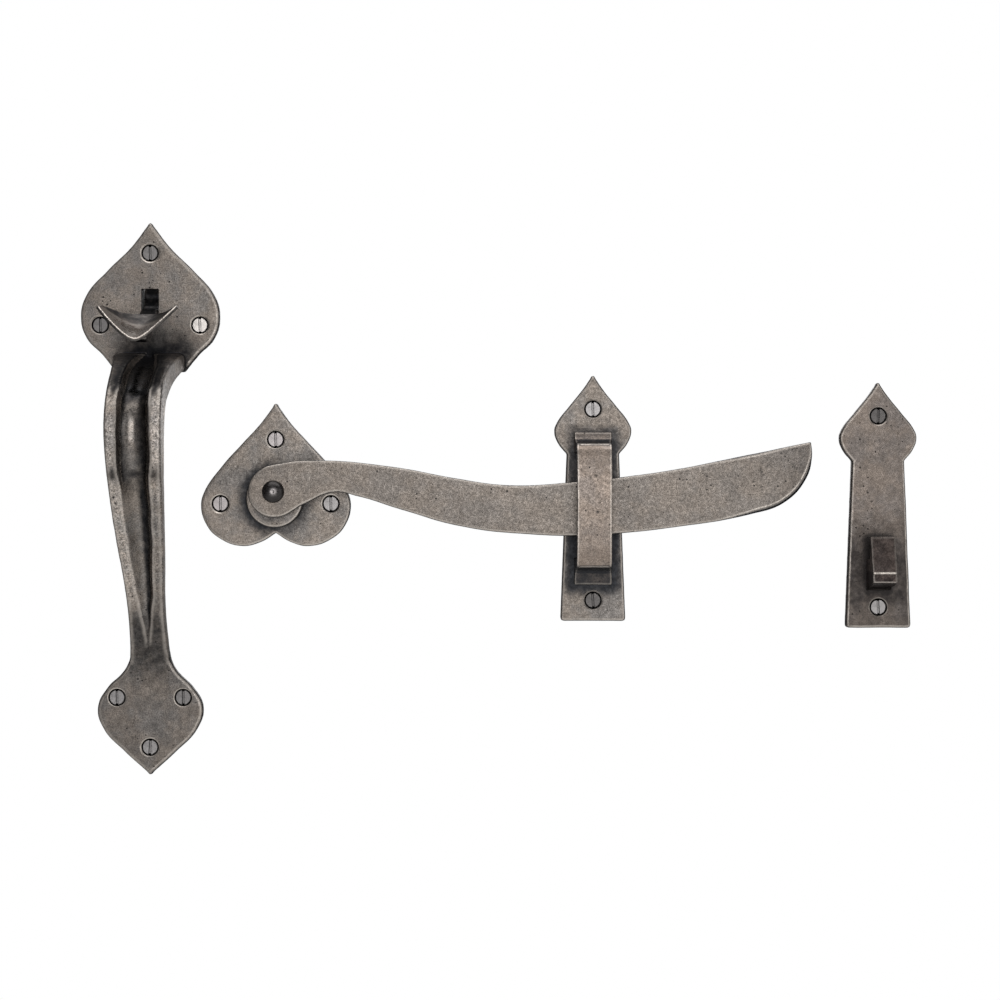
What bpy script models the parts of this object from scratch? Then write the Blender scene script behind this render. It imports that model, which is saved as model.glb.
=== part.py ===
"""A Suffolk thumb latch set in four units, laid out side by side on one flat plane.

X runs to the right along the door, Z up, and -Y out of the door face, so every plate's back lies on
Y = 0. The origin is on the back of the pull handle's upper plate, on the handle's centre line. From left
to right the units are the pull handle with its thumb piece, the pivot plate with the latch bar, the keeper
and the catch. The dimensions are in millimetres, and MM turns them into the scene's metres. A depth is a
distance in front of the door.
"""

import math

import bmesh
import bpy
from mathutils import Matrix

MM = 0.001
GAP = 0.3  # clearance between pieces that touch or turn on each other
SEAT_GAP = 0.45  # the dark ring round a screw's head
PLATE = 4.0  # thickness of every plate
EDGE = 0.9  # rounding of the front edges
OVERCUT = 1.0  # how far a cutter stands proud of what it cuts
CURVE_STEPS = 4  # straight pieces between two points of an outline
SMOOTH, CORNER = "AUTO", "VECTOR"
WELD = 0.001  # points this close are one
SAME_PLANE = 0.01
RIM_ANGLE = math.radians(60)  # a sharper edge than this is part of a rim
SHADE_ANGLE = math.radians(35)  # a flatter edge than this is shaded smooth

# No. 6 slotted countersunk wood screws
HEAD_RADIUS = 3.4
HEAD_RIM = 0.4
HEAD_BELOW = 0.3  # the head's face below the plate's face
SHANK_RADIUS = 1.75
SCREW_LENGTH = 22.0
SCREW_TIP = 4.0
DRIVE_SLOT_WIDTH = 0.9
DRIVE_SLOT_DEPTH = 1.0
COUNTERSINK_RIM = 0.8
ROUND_STEPS = 16

# Pull handle
UPPER_PLATE = (
    (0, 22.9, CORNER), (8.4, 12.3), (19, 1.8), (28, -8.8), (30.4, -17.6),
    (28.2, -27.3), (20.9, -35.2), (15, -42.5, CORNER),
)
LOWER_PLATE = (
    (8.2, -164.5, CORNER), (9.6, -170), (12.4, -174.5), (18.4, -180.4), (23.1, -189.4),
    (20.5, -198.9), (10.7, -209.4), (0, -219.1, CORNER),
)
HANDLE_SCREWS = ((0, 9.6), (-21.8, -22), (21.8, -22), (-14.5, -185.1), (14.5, -185.1), (0, -206.9))
# Stations down the grip: depth and height of its middle, its width and thickness, and the width of its flute
GRIP = (
    (1.2, -38.2, 31.5, 8.4, 0.6), (8.5, -39.6, 29.5, 9, 8), (20.5, -44, 26.3, 10.5, 12),
    (30, -49.2, 24.5, 12, 13), (38.4, -55.6, 23.7, 13, 13), (43.3, -66, 24, 13, 14),
    (42.6, -80, 23.4, 12.2, 14.2), (37.2, -95, 22.2, 11, 12.5), (31, -107, 20.9, 10, 11.5),
    (24.5, -119, 19.4, 9, 10.4), (16, -135, 16.9, 8, 7.8), (10.5, -148, 15.8, 7, 4),
    (5, -161, 16.4, 6, 0.6), (2.8, -168, 17.4, 4.6, 0.6), (1.6, -175, 18, 2.4, 0.6),
)
GRIP_STEPS = 3
GRIP_BACK_ROUND, MOST_BACK_ROUND = 2.6, 0.6  # the second is of half the thickness
GRIP_RIM_ROUND, MOST_RIM_ROUND = 1.2, 0.4
FLUTE_DEPTH = 0.42  # of its width
FLUTE_STEPS = 6
THUMB_SLOT_WIDTH = 7.8
THUMB_SLOT_TOP, THUMB_SLOT_BOTTOM = -6.0, -22.0
LUG_WIDTH = 3.4
LUG_DEPTH = 9.5
LUG_TOP, LUG_BOTTOM = -4.0, -25.0
LUG_ROOT, WEB_ROOT = 2.0, 1.3  # how far each reaches into the plate
WEB_DEPTH, WEB_TOP, WEB_BOTTOM = 13.3, -22.4, -24.6
LIP_DEPTH, LIP_LENGTH, LIP_TOP = 14.0, 3.0, -19.3

# Thumb piece, which turns on a pin behind the upper plate
PIN_HEIGHT, PIN_BEHIND = -16.2, 4.6
PIN_RADIUS = 1.5
PIN_STEPS = 12
PAD_HALF_WIDTH = 16.9
PAD_TIP_DEPTH, PAD_FRONT_DEPTH, PAD_REAR_DEPTH = 36.5, 44.0, 19.5
PAD_MIDDLE_HEIGHT = -28.4  # of the pad's middle line, abreast of its tips
PAD_SLOPE = -0.384
PAD_RISE = 11.6  # from the middle line to the tips
PAD_REAR_CURVE = 2.4  # power of the rear edge's even curve, where the front edge is a rounded V
PAD_REAR_LIFT = 2.6  # how far the rear edge curls up in the middle
PAD_REAR_FULLNESS = 0.7  # power that fills out the rear edge's shoulders, seen from above
PAD_VEE_ROUND = 0.2  # of the half width
PAD_THICKNESS = 1.5
PAD_TIP = 0.7
PAD_STEPS_ACROSS, PAD_STEPS_ALONG = 16, 6
LEVER_WIDTH = 6.8
# Side outline of the lever: depth in front of the door, and height
LEVER = (
    (33, -28), (24, -24.6), (15, -19.4), (6, -15.4), (0.6, -13.8), (-1.3, -10.6), (-2, -7),
    (-5.2, -3.6), (-8.8, -4.6), (-13, -9.6), (-18, -12.8), (-28, -13.4), (-56, -13), (-75, -11.2), (-78, -13.2), (-75, -16.2), (-56, -18.4), (-28, -18.9),
    (-12, -18.9), (-4.6, -19.9), (0.5, -18.8), (6, -19.6), (15, -24.6), (24, -29), (33, -30.6),
)

# Pivot plate, latch bar and rivet
PIVOT_X, PIVOT_Z = 55.0, -95.0
PIVOT_PLATE = (
    (0, -56.3, CORNER), (6.6, -65.1), (14, -73.2), (23.5, -83.6), (31, -94.2), (32.8, -101), (30.1, -110),
    (24.9, -115.3), (15, -118.8), (6.6, -117), (0, -113, CORNER),
)
PIVOT_SCREWS = ((0, -72.1), (-24.2, -100.2), (24.2, -100.2))
BOSS_RADIUS, BOSS_DEPTH, BOSS_BELOW = 12.5, 9.0, 3.0
BOSS_STEPS = 32
BAR_BACK, BAR_FRONT = 9.3, 14.0
BAR_UPPER_EDGE = (
    (-11, 0), (-7.2, 8.5), (5.5, 12.7), (18.5, 13.6), (50.9, 10.9), (79.5, 5.7), (100.8, 2.9), (129.8, 4.2),
    (168.5, 8.7), (206.4, 16.1), (233.2, 21.6, CORNER),
)
BAR_LOWER_EDGE = (
    (233.6, 15), (231.1, 5.7), (221.6, -4.7), (206.4, -9.9), (176.5, -15.1), (137.9, -18.8), (115.4, -18.8),
    (81.6, -15.1), (53.9, -7.3), (37, -2.1), (26, -0.2), (13.5, -5.2), (0.6, -11.2), (-8, -7.6),
)
RIVET_HEAD_RADIUS, RIVET_HEAD_RISE, RIVET_SHANK_RADIUS = 4.85, 3.0, 3.0
RIVET_FLARE = 1.2  # the shank's end, hammered wide in the plate's back
DOME_STEPS = 5

# Keeper and catch: two plates of one shape, measured down from the tip
KEEPER_X, KEEPER_TOP = 194.0, -44.2
CATCH_X, CATCH_TOP = 319.0, -47.2
STRAP_PLATE = (
    (0, 0, CORNER), (4.4, -6), (10.2, -13.2), (15.8, -20.6), (16.9, -24), (15.4, -29.2),
    (11.5, -34.2, CORNER), (14.3, -107.4, CORNER),
)
STRAP_SCREWS = ((0, -14.6), (0, -98.3))

# Staple, by depth and height below the keeper's tip
STAPLE_TOP, STAPLE_BOTTOM = -30.0, -83.6
STAPLE_FRONT = 20.0
STAPLE_STRAP = 4.0
STAPLE_UPPER_FOOT, STAPLE_LOWER_FOOT = 5.2, 7.8
STAPLE_FOOT_DEPTH, STAPLE_FOOT_EDGE = 8.0, 1.2
STAPLE_FOOT_SAG = (0.4, 0.35)  # where a foot's hollow passes, of its depth and of its height
STAPLE_WIDTH, STAPLE_FOOT_WIDTH = 15.0, 16.6
STAPLE_CORNER = 3.0
TENON_WIDTH, TENON_HEIGHT = 8.0, 3.6

# Hook, by depth and height below the catch's tip
HOOK_WIDTH = 10.4
HOOK = (
    (PLATE + GAP, -77.4, CORNER), (11.5, -77.4, CORNER), (13.4, -75.4), (13.6, -67.6, CORNER),
    (15.6, -67.4, CORNER), (20.7, -82.6, CORNER), (21, -87, CORNER), (15, -88.6), (8.5, -89.4),
    (PLATE + GAP, -91, CORNER),
)
HOOK_TENON_MIDDLE = -84.5
HOOK_TENON_WIDTH, HOOK_TENON_HEIGHT, HOOK_TENON_FRONT = 6.0, 8.0, 7.0

PEWTER = ("aged_pewter", (0.17, 0.155, 0.14), 0.42)
DARK_PEWTER = ("dark_pewter", (0.075, 0.07, 0.068), 0.4)
SCREW_STEEL = ("screw_steel", (0.26, 0.25, 0.24), 0.36)
RIVET_BLACK = ("blackened_rivet", (0.02, 0.02, 0.022), 0.3)

FACING_FRONT = Matrix.Rotation(math.pi / 2, 4, "X")  # local Z comes out of the door
FACING_SIDE = Matrix(((0, 0, -1, 0), (-1, 0, 0, 0), (0, 1, 0, 0), (0, 0, 0, 1)))  # local X comes out


def clear_scene():
    for obj in list(bpy.data.objects):
        bpy.data.objects.remove(obj, do_unlink=True)


def new_collection(name, hidden=False):
    collection = bpy.data.collections.new(name)
    collection.hide_render = hidden
    bpy.context.scene.collection.children.link(collection)
    return collection


def metal(name, colour, roughness):
    if name in bpy.data.materials:
        return bpy.data.materials[name]
    material = bpy.data.materials.new(name)
    material.use_nodes = True
    shader = material.node_tree.nodes["Principled BSDF"]
    shader.inputs["Base Color"].default_value = (*colour, 1)
    shader.inputs["Roughness"].default_value = roughness
    shader.inputs["Metallic"].default_value = 1
    return material


def place(x, depth, z):
    return Matrix.Translation((x * MM, -depth * MM, z * MM))


def new_object(name, mesh, matrix, collection):
    obj = bpy.data.objects.new(name, mesh)
    obj.matrix_world = matrix
    collection.objects.link(obj)
    return obj


def as_part(obj, finish):
    """Makes a helper one of the latch's own pieces."""
    HELPERS.objects.unlink(obj)
    LATCH.objects.link(obj)
    obj.data.materials.append(metal(*finish))
    obj.data.shade_smooth()
    obj.data.set_sharp_from_angle(angle=SHADE_ANGLE)
    return obj


def as_helper(obj):
    obj.hide_render = True
    obj.display_type = "WIRE"
    return obj


def made_mesh(obj, name):
    """Replaces an object by a plain mesh of its evaluated shape, its loose caps welded."""
    bpy.context.view_layer.update()
    mesh = bpy.data.meshes.new_from_object(obj.evaluated_get(bpy.context.evaluated_depsgraph_get()))
    mesh.name = name
    welded = bmesh.new()
    welded.from_mesh(mesh)
    bmesh.ops.remove_doubles(welded, verts=welded.verts, dist=WELD * MM)
    bmesh.ops.recalc_face_normals(welded, faces=welded.faces)
    welded.to_mesh(mesh)
    welded.free()
    matrix = obj.matrix_world.copy()
    bpy.data.objects.remove(obj, do_unlink=True)
    return new_object(name, mesh, matrix, HELPERS)


def outline_solid(name, knots, thickness, matrix):
    """A flat outline with half its thickness on each side of its own plane."""
    curve = bpy.data.curves.new(name, "CURVE")
    curve.dimensions = "2D"
    curve.fill_mode = "BOTH"
    curve.resolution_u = CURVE_STEPS
    curve.extrude = thickness / 2 * MM
    spline = curve.splines.new("BEZIER")
    spline.bezier_points.add(len(knots) - 1)
    spline.use_cyclic_u = True
    for point, (across, up, *kind) in zip(spline.bezier_points, knots):
        point.co = (across * MM, up * MM, 0)
        point.handle_left_type = point.handle_right_type = kind[0] if kind else SMOOTH
    return made_mesh(new_object(name, curve, matrix, HELPERS), name)


def turned_solid(name, profile, matrix, steps=ROUND_STEPS):
    """A profile of (radius, height), from the top of its axis down its outer side, turned about local Z."""
    mesh = bpy.data.meshes.new(name)
    points = [(radius * MM, 0, height * MM) for radius, height in profile]
    mesh.from_pydata(points, [(i, i + 1) for i in range(len(points) - 1)], [])
    obj = new_object(name, mesh, matrix, HELPERS)
    turn = obj.modifiers.new("Turn", "SCREW")
    turn.steps = turn.render_steps = steps
    turn.use_merge_vertices = True
    turn.merge_threshold = WELD * MM
    return made_mesh(obj, name)


def box(name, low, high):
    """A block between two corners, each given as x, depth and height."""
    mesh = bpy.data.meshes.new(name)
    shape = bmesh.new()
    sides = [(b - a) * MM for a, b in zip(low, high)]
    bmesh.ops.create_cube(shape, size=1, matrix=Matrix.Diagonal((*sides, 1)))
    shape.to_mesh(mesh)
    shape.free()
    x, depth, z = ((a + b) / 2 for a, b in zip(low, high))
    return new_object(name, mesh, place(x, depth, z), HELPERS)


def combine(target, tool, operation):
    modifier = target.modifiers.new(f"{operation.capitalize()} {tool.name}", "BOOLEAN")
    modifier.operation = operation
    modifier.solver = "EXACT"
    modifier.object = as_helper(tool)


def round_front_edges(obj, thickness, width=EDGE):
    """Rounds the rim of an outline's front face and leaves the back, which lies on the door, square."""
    mesh = obj.data
    shape = bmesh.new()
    shape.from_mesh(mesh)
    weights = shape.edges.layers.float.new("bevel_weight_edge")
    front = thickness / 2 * MM
    for edge in shape.edges:
        on_front = all(abs(vertex.co.z - front) < SAME_PLANE * MM for vertex in edge.verts)
        edge[weights] = float(on_front and edge.calc_face_angle() > RIM_ANGLE)
    shape.to_mesh(mesh)
    shape.free()
    bevel = obj.modifiers.new("Front edge", "BEVEL")
    bevel.limit_method = "WEIGHT"
    bevel.width = width * MM
    bevel.segments = 1


def mirrored(half):
    """Closes a right half outline with its mirror image. A point on the axis isn't doubled."""
    return half + tuple((-knot[0], *knot[1:]) for knot in reversed(half) if knot[0])


def plate(name, half, x, z):
    obj = outline_solid(name, mirrored(half), PLATE, place(x, PLATE / 2, z) @ FACING_FRONT)
    round_front_edges(obj, PLATE)
    return obj


def screw_mesh():
    """One slotted countersunk wood screw, its head's face at the origin and its point behind."""
    cone = HEAD_RADIUS - SHANK_RADIUS
    profile = (
        (0, 0), (HEAD_RADIUS, 0), (HEAD_RADIUS, -HEAD_RIM), (SHANK_RADIUS, -HEAD_RIM - cone),
        (SHANK_RADIUS, SCREW_TIP - SCREW_LENGTH), (0, -SCREW_LENGTH),
    )
    blank = turned_solid("screw_blank", profile, FACING_FRONT)
    half_slot = DRIVE_SLOT_WIDTH / 2
    half_length = HEAD_RADIUS + OVERCUT
    slot = box("drive_slot", (-half_slot, -DRIVE_SLOT_DEPTH, -half_length), (half_slot, OVERCUT, half_length))
    combine(blank, slot, "DIFFERENCE")
    screw = made_mesh(blank, "wood_screw")
    mesh = screw.data
    bpy.data.objects.remove(screw, do_unlink=True)
    mesh.materials.append(metal(*SCREW_STEEL))
    return mesh


def add_screws(target, prefix, x, z, places, mesh):
    """Countersinks a plate at each place and puts a screw there."""
    wide, hole = HEAD_RADIUS + SEAT_GAP, SHANK_RADIUS + GAP
    profile = (
        (0, OVERCUT), (wide, OVERCUT), (wide, -COUNTERSINK_RIM), (hole, -COUNTERSINK_RIM - (wide - hole)),
        (hole, -PLATE - OVERCUT), (0, -PLATE - OVERCUT),
    )
    for number, (across, up) in enumerate(places, 1):
        seat = place(x + across, PLATE, z + up) @ FACING_FRONT
        combine(target, turned_solid(f"{prefix}_countersink_{number}", profile, seat), "DIFFERENCE")
        matrix = place(x + across, PLATE - HEAD_BELOW, z + up) @ FACING_FRONT
        new_object(f"{prefix}_screw_{number}", mesh, matrix, LATCH)


def smooth_stations(stations, steps):
    """Catmull-Rom values between the stations, column by column, with both ends held."""
    padded = (stations[0], *stations, stations[-1])
    found = []
    for before, start, end, after in zip(padded, padded[1:], padded[2:], padded[3:]):
        for step in range(steps):
            t = step / steps
            found.append([
                b + ((c - a) * t + (2 * a - 5 * b + 4 * c - d) * t**2 + (3 * b - a - 3 * c + d) * t**3) / 2
                for a, b, c, d in zip(before, start, end, after)
            ])
    return [*found, list(stations[-1])]


def grip_section(width, thickness, flute):
    """Points (across, out) round one section: a rounded back, and two rims with the flute between them."""
    side, face = width / 2, thickness / 2
    back_round = min(GRIP_BACK_ROUND, face * MOST_BACK_ROUND)
    rim_round = min(GRIP_RIM_ROUND, face * MOST_RIM_ROUND)
    right = [
        (side - back_round, -face), (side, back_round - face), (side, face - rim_round),
        (side - rim_round, face),
    ]
    angles = [math.pi * step / FLUTE_STEPS for step in range(FLUTE_STEPS + 1)]
    hollow = [(math.cos(a) * flute / 2, face - math.sin(a) * flute * FLUTE_DEPTH) for a in angles]
    return [*right, *hollow, *((-across, out) for across, out in reversed(right))]


def grip_solid():
    """The fluted bow grip, a loft of unlike sections square to its own curve."""
    stations = smooth_stations(GRIP, GRIP_STEPS)
    mesh = bpy.data.meshes.new("grip")
    shape = bmesh.new()
    rings = []
    for index, (depth, z, width, thickness, flute) in enumerate(stations):
        before, after = stations[max(index - 1, 0)], stations[min(index + 1, len(stations) - 1)]
        run_depth, run_z = after[0] - before[0], after[1] - before[1]
        length = math.hypot(run_depth, run_z)
        out_depth, out_z = -run_z / length, run_depth / length
        ring = []
        for across, out in grip_section(width, thickness, flute):
            point = (across * MM, -(depth + out * out_depth) * MM, (z + out * out_z) * MM)
            ring.append(shape.verts.new(point))
        rings.append(ring)
    for upper, lower in zip(rings, rings[1:]):
        for side, corner in enumerate(upper):
            following = (side + 1) % len(upper)
            shape.faces.new((corner, upper[following], lower[following], lower[side]))
    shape.faces.new(rings[0])
    shape.faces.new(rings[-1])
    bmesh.ops.recalc_face_normals(shape, faces=shape.faces)
    shape.to_mesh(mesh)
    shape.free()
    return new_object("grip", mesh, Matrix(), HELPERS)


def make_handle(screws):
    handle = plate("pull_handle", UPPER_PLATE, 0, 0)
    for tool in (plate("lower_plate", LOWER_PLATE, 0, 0), grip_solid()):
        combine(handle, tool, "UNION")
    inside = THUMB_SLOT_WIDTH / 2 + GAP
    outside = inside + LUG_WIDTH
    for side, name in ((-1, "left_lug"), (1, "right_lug")):
        left, right = sorted((side * inside, side * outside))
        combine(handle, box(name, (left, -LUG_DEPTH, LUG_BOTTOM), (right, LUG_ROOT, LUG_TOP)), "UNION")
    into_lug = inside + LUG_WIDTH / 2
    web = box("rest_web", (-into_lug, -WEB_DEPTH, WEB_BOTTOM), (into_lug, WEB_ROOT, WEB_TOP))
    lip = box("rest_lip", (-inside, -LIP_DEPTH, WEB_BOTTOM + GAP), (inside, LIP_LENGTH - LIP_DEPTH, LIP_TOP))
    for tool in (web, lip):
        combine(handle, tool, "UNION")
    half = THUMB_SLOT_WIDTH / 2
    slot = box("thumb_slot", (-half, -OVERCUT, THUMB_SLOT_BOTTOM), (half, PLATE + OVERCUT, THUMB_SLOT_TOP))
    combine(handle, slot, "DIFFERENCE")
    combine(handle, pin_solid("lug_bore", PIN_RADIUS + GAP, outside + OVERCUT), "DIFFERENCE")
    add_screws(handle, "handle", 0, 0, HANDLE_SCREWS, screws)
    as_part(handle, PEWTER)
    as_part(pin_solid("thumb_pivot_pin", PIN_RADIUS, outside - GAP), SCREW_STEEL)


def pin_solid(name, radius, half_length):
    profile = ((0, half_length), (radius, half_length), (radius, -half_length), (0, -half_length))
    across = Matrix.Rotation(math.pi / 2, 4, "Y")
    return turned_solid(name, profile, place(0, -PIN_BEHIND, PIN_HEIGHT) @ across, PIN_STEPS)


def pad_rise(u, v):
    """Height above the middle line, at u across (-1 to 1) and v from the rear edge (-1) to the front (1)."""
    vee = (math.hypot(u, PAD_VEE_ROUND) - PAD_VEE_ROUND) / (math.hypot(1, PAD_VEE_ROUND) - PAD_VEE_ROUND)
    curl = PAD_REAR_LIFT * (1 - u * u) * min(v, 0) ** 2
    return PAD_RISE * (abs(u) ** PAD_REAR_CURVE * (1 - v) + vee * (1 + v)) / 2 + curl


def pad_solid():
    """The dished, leaf-shaped thumb pad: a grid bent into a saddle and made thick."""
    mesh = bpy.data.meshes.new("thumb_pad")
    shape = bmesh.new()
    bmesh.ops.create_grid(shape, x_segments=PAD_STEPS_ACROSS, y_segments=PAD_STEPS_ALONG, size=1)
    for vertex in shape.verts:
        u, v = vertex.co.x, vertex.co.y
        full = 1 - u * u
        front = PAD_TIP_DEPTH + PAD_TIP + (PAD_FRONT_DEPTH - PAD_TIP_DEPTH) * full
        rear = PAD_TIP_DEPTH - PAD_TIP - (PAD_TIP_DEPTH - PAD_REAR_DEPTH) * full**PAD_REAR_FULLNESS
        depth = (front + rear) / 2 + v * (front - rear) / 2
        z = PAD_MIDDLE_HEIGHT + PAD_SLOPE * (depth - PAD_TIP_DEPTH) + pad_rise(u, v)
        vertex.co = (u * PAD_HALF_WIDTH * MM, -depth * MM, z * MM)
    bmesh.ops.recalc_face_normals(shape, faces=shape.faces)
    shape.to_mesh(mesh)
    shape.free()
    pad = new_object("thumb_pad", mesh, Matrix(), HELPERS)
    thick = pad.modifiers.new("Thickness", "SOLIDIFY")
    thick.thickness = PAD_THICKNESS * MM
    thick.offset = 0
    return made_mesh(pad, "thumb_pad")


def make_thumb_piece():
    knots = tuple((depth + PIN_BEHIND, z - PIN_HEIGHT, *kind) for depth, z, *kind in LEVER)
    pivot = place(0, -PIN_BEHIND, PIN_HEIGHT)
    thumb = outline_solid("thumb_piece", knots, LEVER_WIDTH, pivot @ FACING_SIDE)
    combine(thumb, pad_solid(), "UNION")
    combine(thumb, pin_solid("lever_bore", PIN_RADIUS + GAP, LEVER_WIDTH), "DIFFERENCE")
    as_part(thumb, PEWTER)


def rivet_profile():
    """Dome, shank and flare, measured from the bar's front face."""
    shank = RIVET_SHANK_RADIUS
    angles = [math.pi / 2 * step / DOME_STEPS for step in range(DOME_STEPS + 1)]
    dome = [(RIVET_HEAD_RADIUS * math.sin(a), GAP + RIVET_HEAD_RISE * math.cos(a)) for a in angles]
    back = -BAR_FRONT + GAP
    return (*dome, (shank, GAP), (shank, back + RIVET_FLARE), (shank + RIVET_FLARE, back), (0, back))


def make_pivot_unit(screws):
    base = plate("pivot_plate", PIVOT_PLATE, PIVOT_X, 0)
    boss_profile = (
        (0, BOSS_DEPTH), (BOSS_RADIUS - EDGE, BOSS_DEPTH), (BOSS_RADIUS, BOSS_DEPTH - EDGE),
        (BOSS_RADIUS, PLATE / 2), (0, PLATE / 2),
    )
    boss_place = place(PIVOT_X, 0, PIVOT_Z - BOSS_BELOW) @ FACING_FRONT
    combine(base, turned_solid("pivot_boss", boss_profile, boss_place, BOSS_STEPS), "UNION")
    bore, flare = RIVET_SHANK_RADIUS + GAP, RIVET_SHANK_RADIUS + RIVET_FLARE + GAP
    bore_profile = (
        (0, BOSS_DEPTH + OVERCUT), (bore, BOSS_DEPTH + OVERCUT), (bore, RIVET_FLARE + GAP),
        (flare, GAP), (flare, -OVERCUT), (0, -OVERCUT),
    )
    pivot = place(PIVOT_X, 0, PIVOT_Z) @ FACING_FRONT
    combine(base, turned_solid("pivot_bore", bore_profile, pivot), "DIFFERENCE")
    add_screws(base, "pivot_plate", PIVOT_X, 0, PIVOT_SCREWS, screws)
    as_part(base, PEWTER)

    thickness = BAR_FRONT - BAR_BACK
    middle = place(PIVOT_X, (BAR_FRONT + BAR_BACK) / 2, PIVOT_Z) @ FACING_FRONT
    bar = outline_solid("latch_bar", BAR_UPPER_EDGE + BAR_LOWER_EDGE, thickness, middle)
    round_front_edges(bar, thickness)
    eye_profile = ((0, thickness), (bore, thickness), (bore, -thickness), (0, -thickness))
    combine(bar, turned_solid("bar_eye", eye_profile, middle), "DIFFERENCE")
    as_part(bar, PEWTER)

    rivet_place = place(PIVOT_X, BAR_FRONT, PIVOT_Z) @ FACING_FRONT
    as_part(turned_solid("pivot_rivet", rivet_profile(), rivet_place), RIVET_BLACK)


def tenon(name, x, z, width, height, front, grow=0.0):
    """The block that passes through a plate, or with grow the mortise that it passes through."""
    back = GAP if not grow else -OVERCUT
    half_width, half_height = width / 2 + grow, height / 2 + grow
    return box(name, (x - half_width, back, z - half_height), (x + half_width, front, z + half_height))


def staple_limb(foot, half):
    """Upper half of the staple's side outline, about its middle: inside corner, curved foot, bridge."""
    back, inner = PLATE + GAP, STAPLE_FRONT - STAPLE_STRAP
    sag_depth, sag_height = STAPLE_FOOT_SAG
    return (
        (inner, half - STAPLE_STRAP - STAPLE_CORNER / 2), (inner - STAPLE_CORNER / 2, half - STAPLE_STRAP),
        (back, half - STAPLE_STRAP, CORNER), (back, half + foot, CORNER),
        (back + STAPLE_FOOT_EDGE, half + foot, CORNER),
        (back + STAPLE_FOOT_DEPTH * sag_depth, half + foot * sag_height), (back + STAPLE_FOOT_DEPTH, half),
        (STAPLE_FRONT - STAPLE_CORNER, half), (STAPLE_FRONT, half - STAPLE_CORNER),
    )


def staple_outline():
    """The whole side outline, and the height of its middle below the plate's tip."""
    middle, half = (STAPLE_TOP + STAPLE_BOTTOM) / 2, (STAPLE_TOP - STAPLE_BOTTOM) / 2
    mirror = staple_limb(STAPLE_LOWER_FOOT, half)
    lower = tuple((depth, -up, *kind) for depth, up, *kind in reversed(mirror))
    return staple_limb(STAPLE_UPPER_FOOT, half) + lower, middle


def make_keeper(screws):
    base = plate("keeper_plate", STRAP_PLATE, KEEPER_X, KEEPER_TOP)
    add_screws(base, "keeper", KEEPER_X, KEEPER_TOP, STRAP_SCREWS, screws)
    knots, middle = staple_outline()
    staple_place = place(KEEPER_X, 0, KEEPER_TOP + middle) @ FACING_SIDE
    staple = outline_solid("keeper_staple", knots, STAPLE_FOOT_WIDTH, staple_place)
    for vertex in staple.data.vertices:
        along = min(max((vertex.co.x / MM - PLATE) / STAPLE_FOOT_DEPTH, 0), 1)
        vertex.co.z *= 1 + along * (STAPLE_WIDTH / STAPLE_FOOT_WIDTH - 1)
    for name, leg in (("upper", STAPLE_TOP), ("lower", STAPLE_BOTTOM + STAPLE_STRAP)):
        z = KEEPER_TOP + leg - STAPLE_STRAP / 2
        front = PLATE + STAPLE_STRAP
        mortise = tenon(f"{name}_mortise", KEEPER_X, z, TENON_WIDTH, TENON_HEIGHT, front, GAP)
        combine(base, mortise, "DIFFERENCE")
        combine(staple, tenon(f"{name}_tenon", KEEPER_X, z, TENON_WIDTH, TENON_HEIGHT, front), "UNION")
    as_part(base, PEWTER)
    as_part(staple, DARK_PEWTER)


def make_catch(screws):
    base = plate("catch_plate", STRAP_PLATE, CATCH_X, CATCH_TOP)
    add_screws(base, "catch", CATCH_X, CATCH_TOP, STRAP_SCREWS, screws)
    hook = outline_solid("catch_hook", HOOK, HOOK_WIDTH, place(CATCH_X, 0, CATCH_TOP) @ FACING_SIDE)
    size = (HOOK_TENON_WIDTH, HOOK_TENON_HEIGHT, HOOK_TENON_FRONT)
    z = CATCH_TOP + HOOK_TENON_MIDDLE
    combine(base, tenon("hook_mortise", CATCH_X, z, *size, GAP), "DIFFERENCE")
    combine(hook, tenon("hook_tenon", CATCH_X, z, *size), "UNION")
    as_part(base, PEWTER)
    as_part(hook, DARK_PEWTER)


clear_scene()
LATCH = new_collection("thumb_latch")
HELPERS = new_collection("cutters", hidden=True)
wood_screw = screw_mesh()
make_handle(wood_screw)
make_thumb_piece()
make_pivot_unit(wood_screw)
make_keeper(wood_screw)
make_catch(wood_screw)
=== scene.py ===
import math

import bmesh
import bpy
import numpy as np
from mathutils import Matrix, Vector, kdtree, noise


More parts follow.
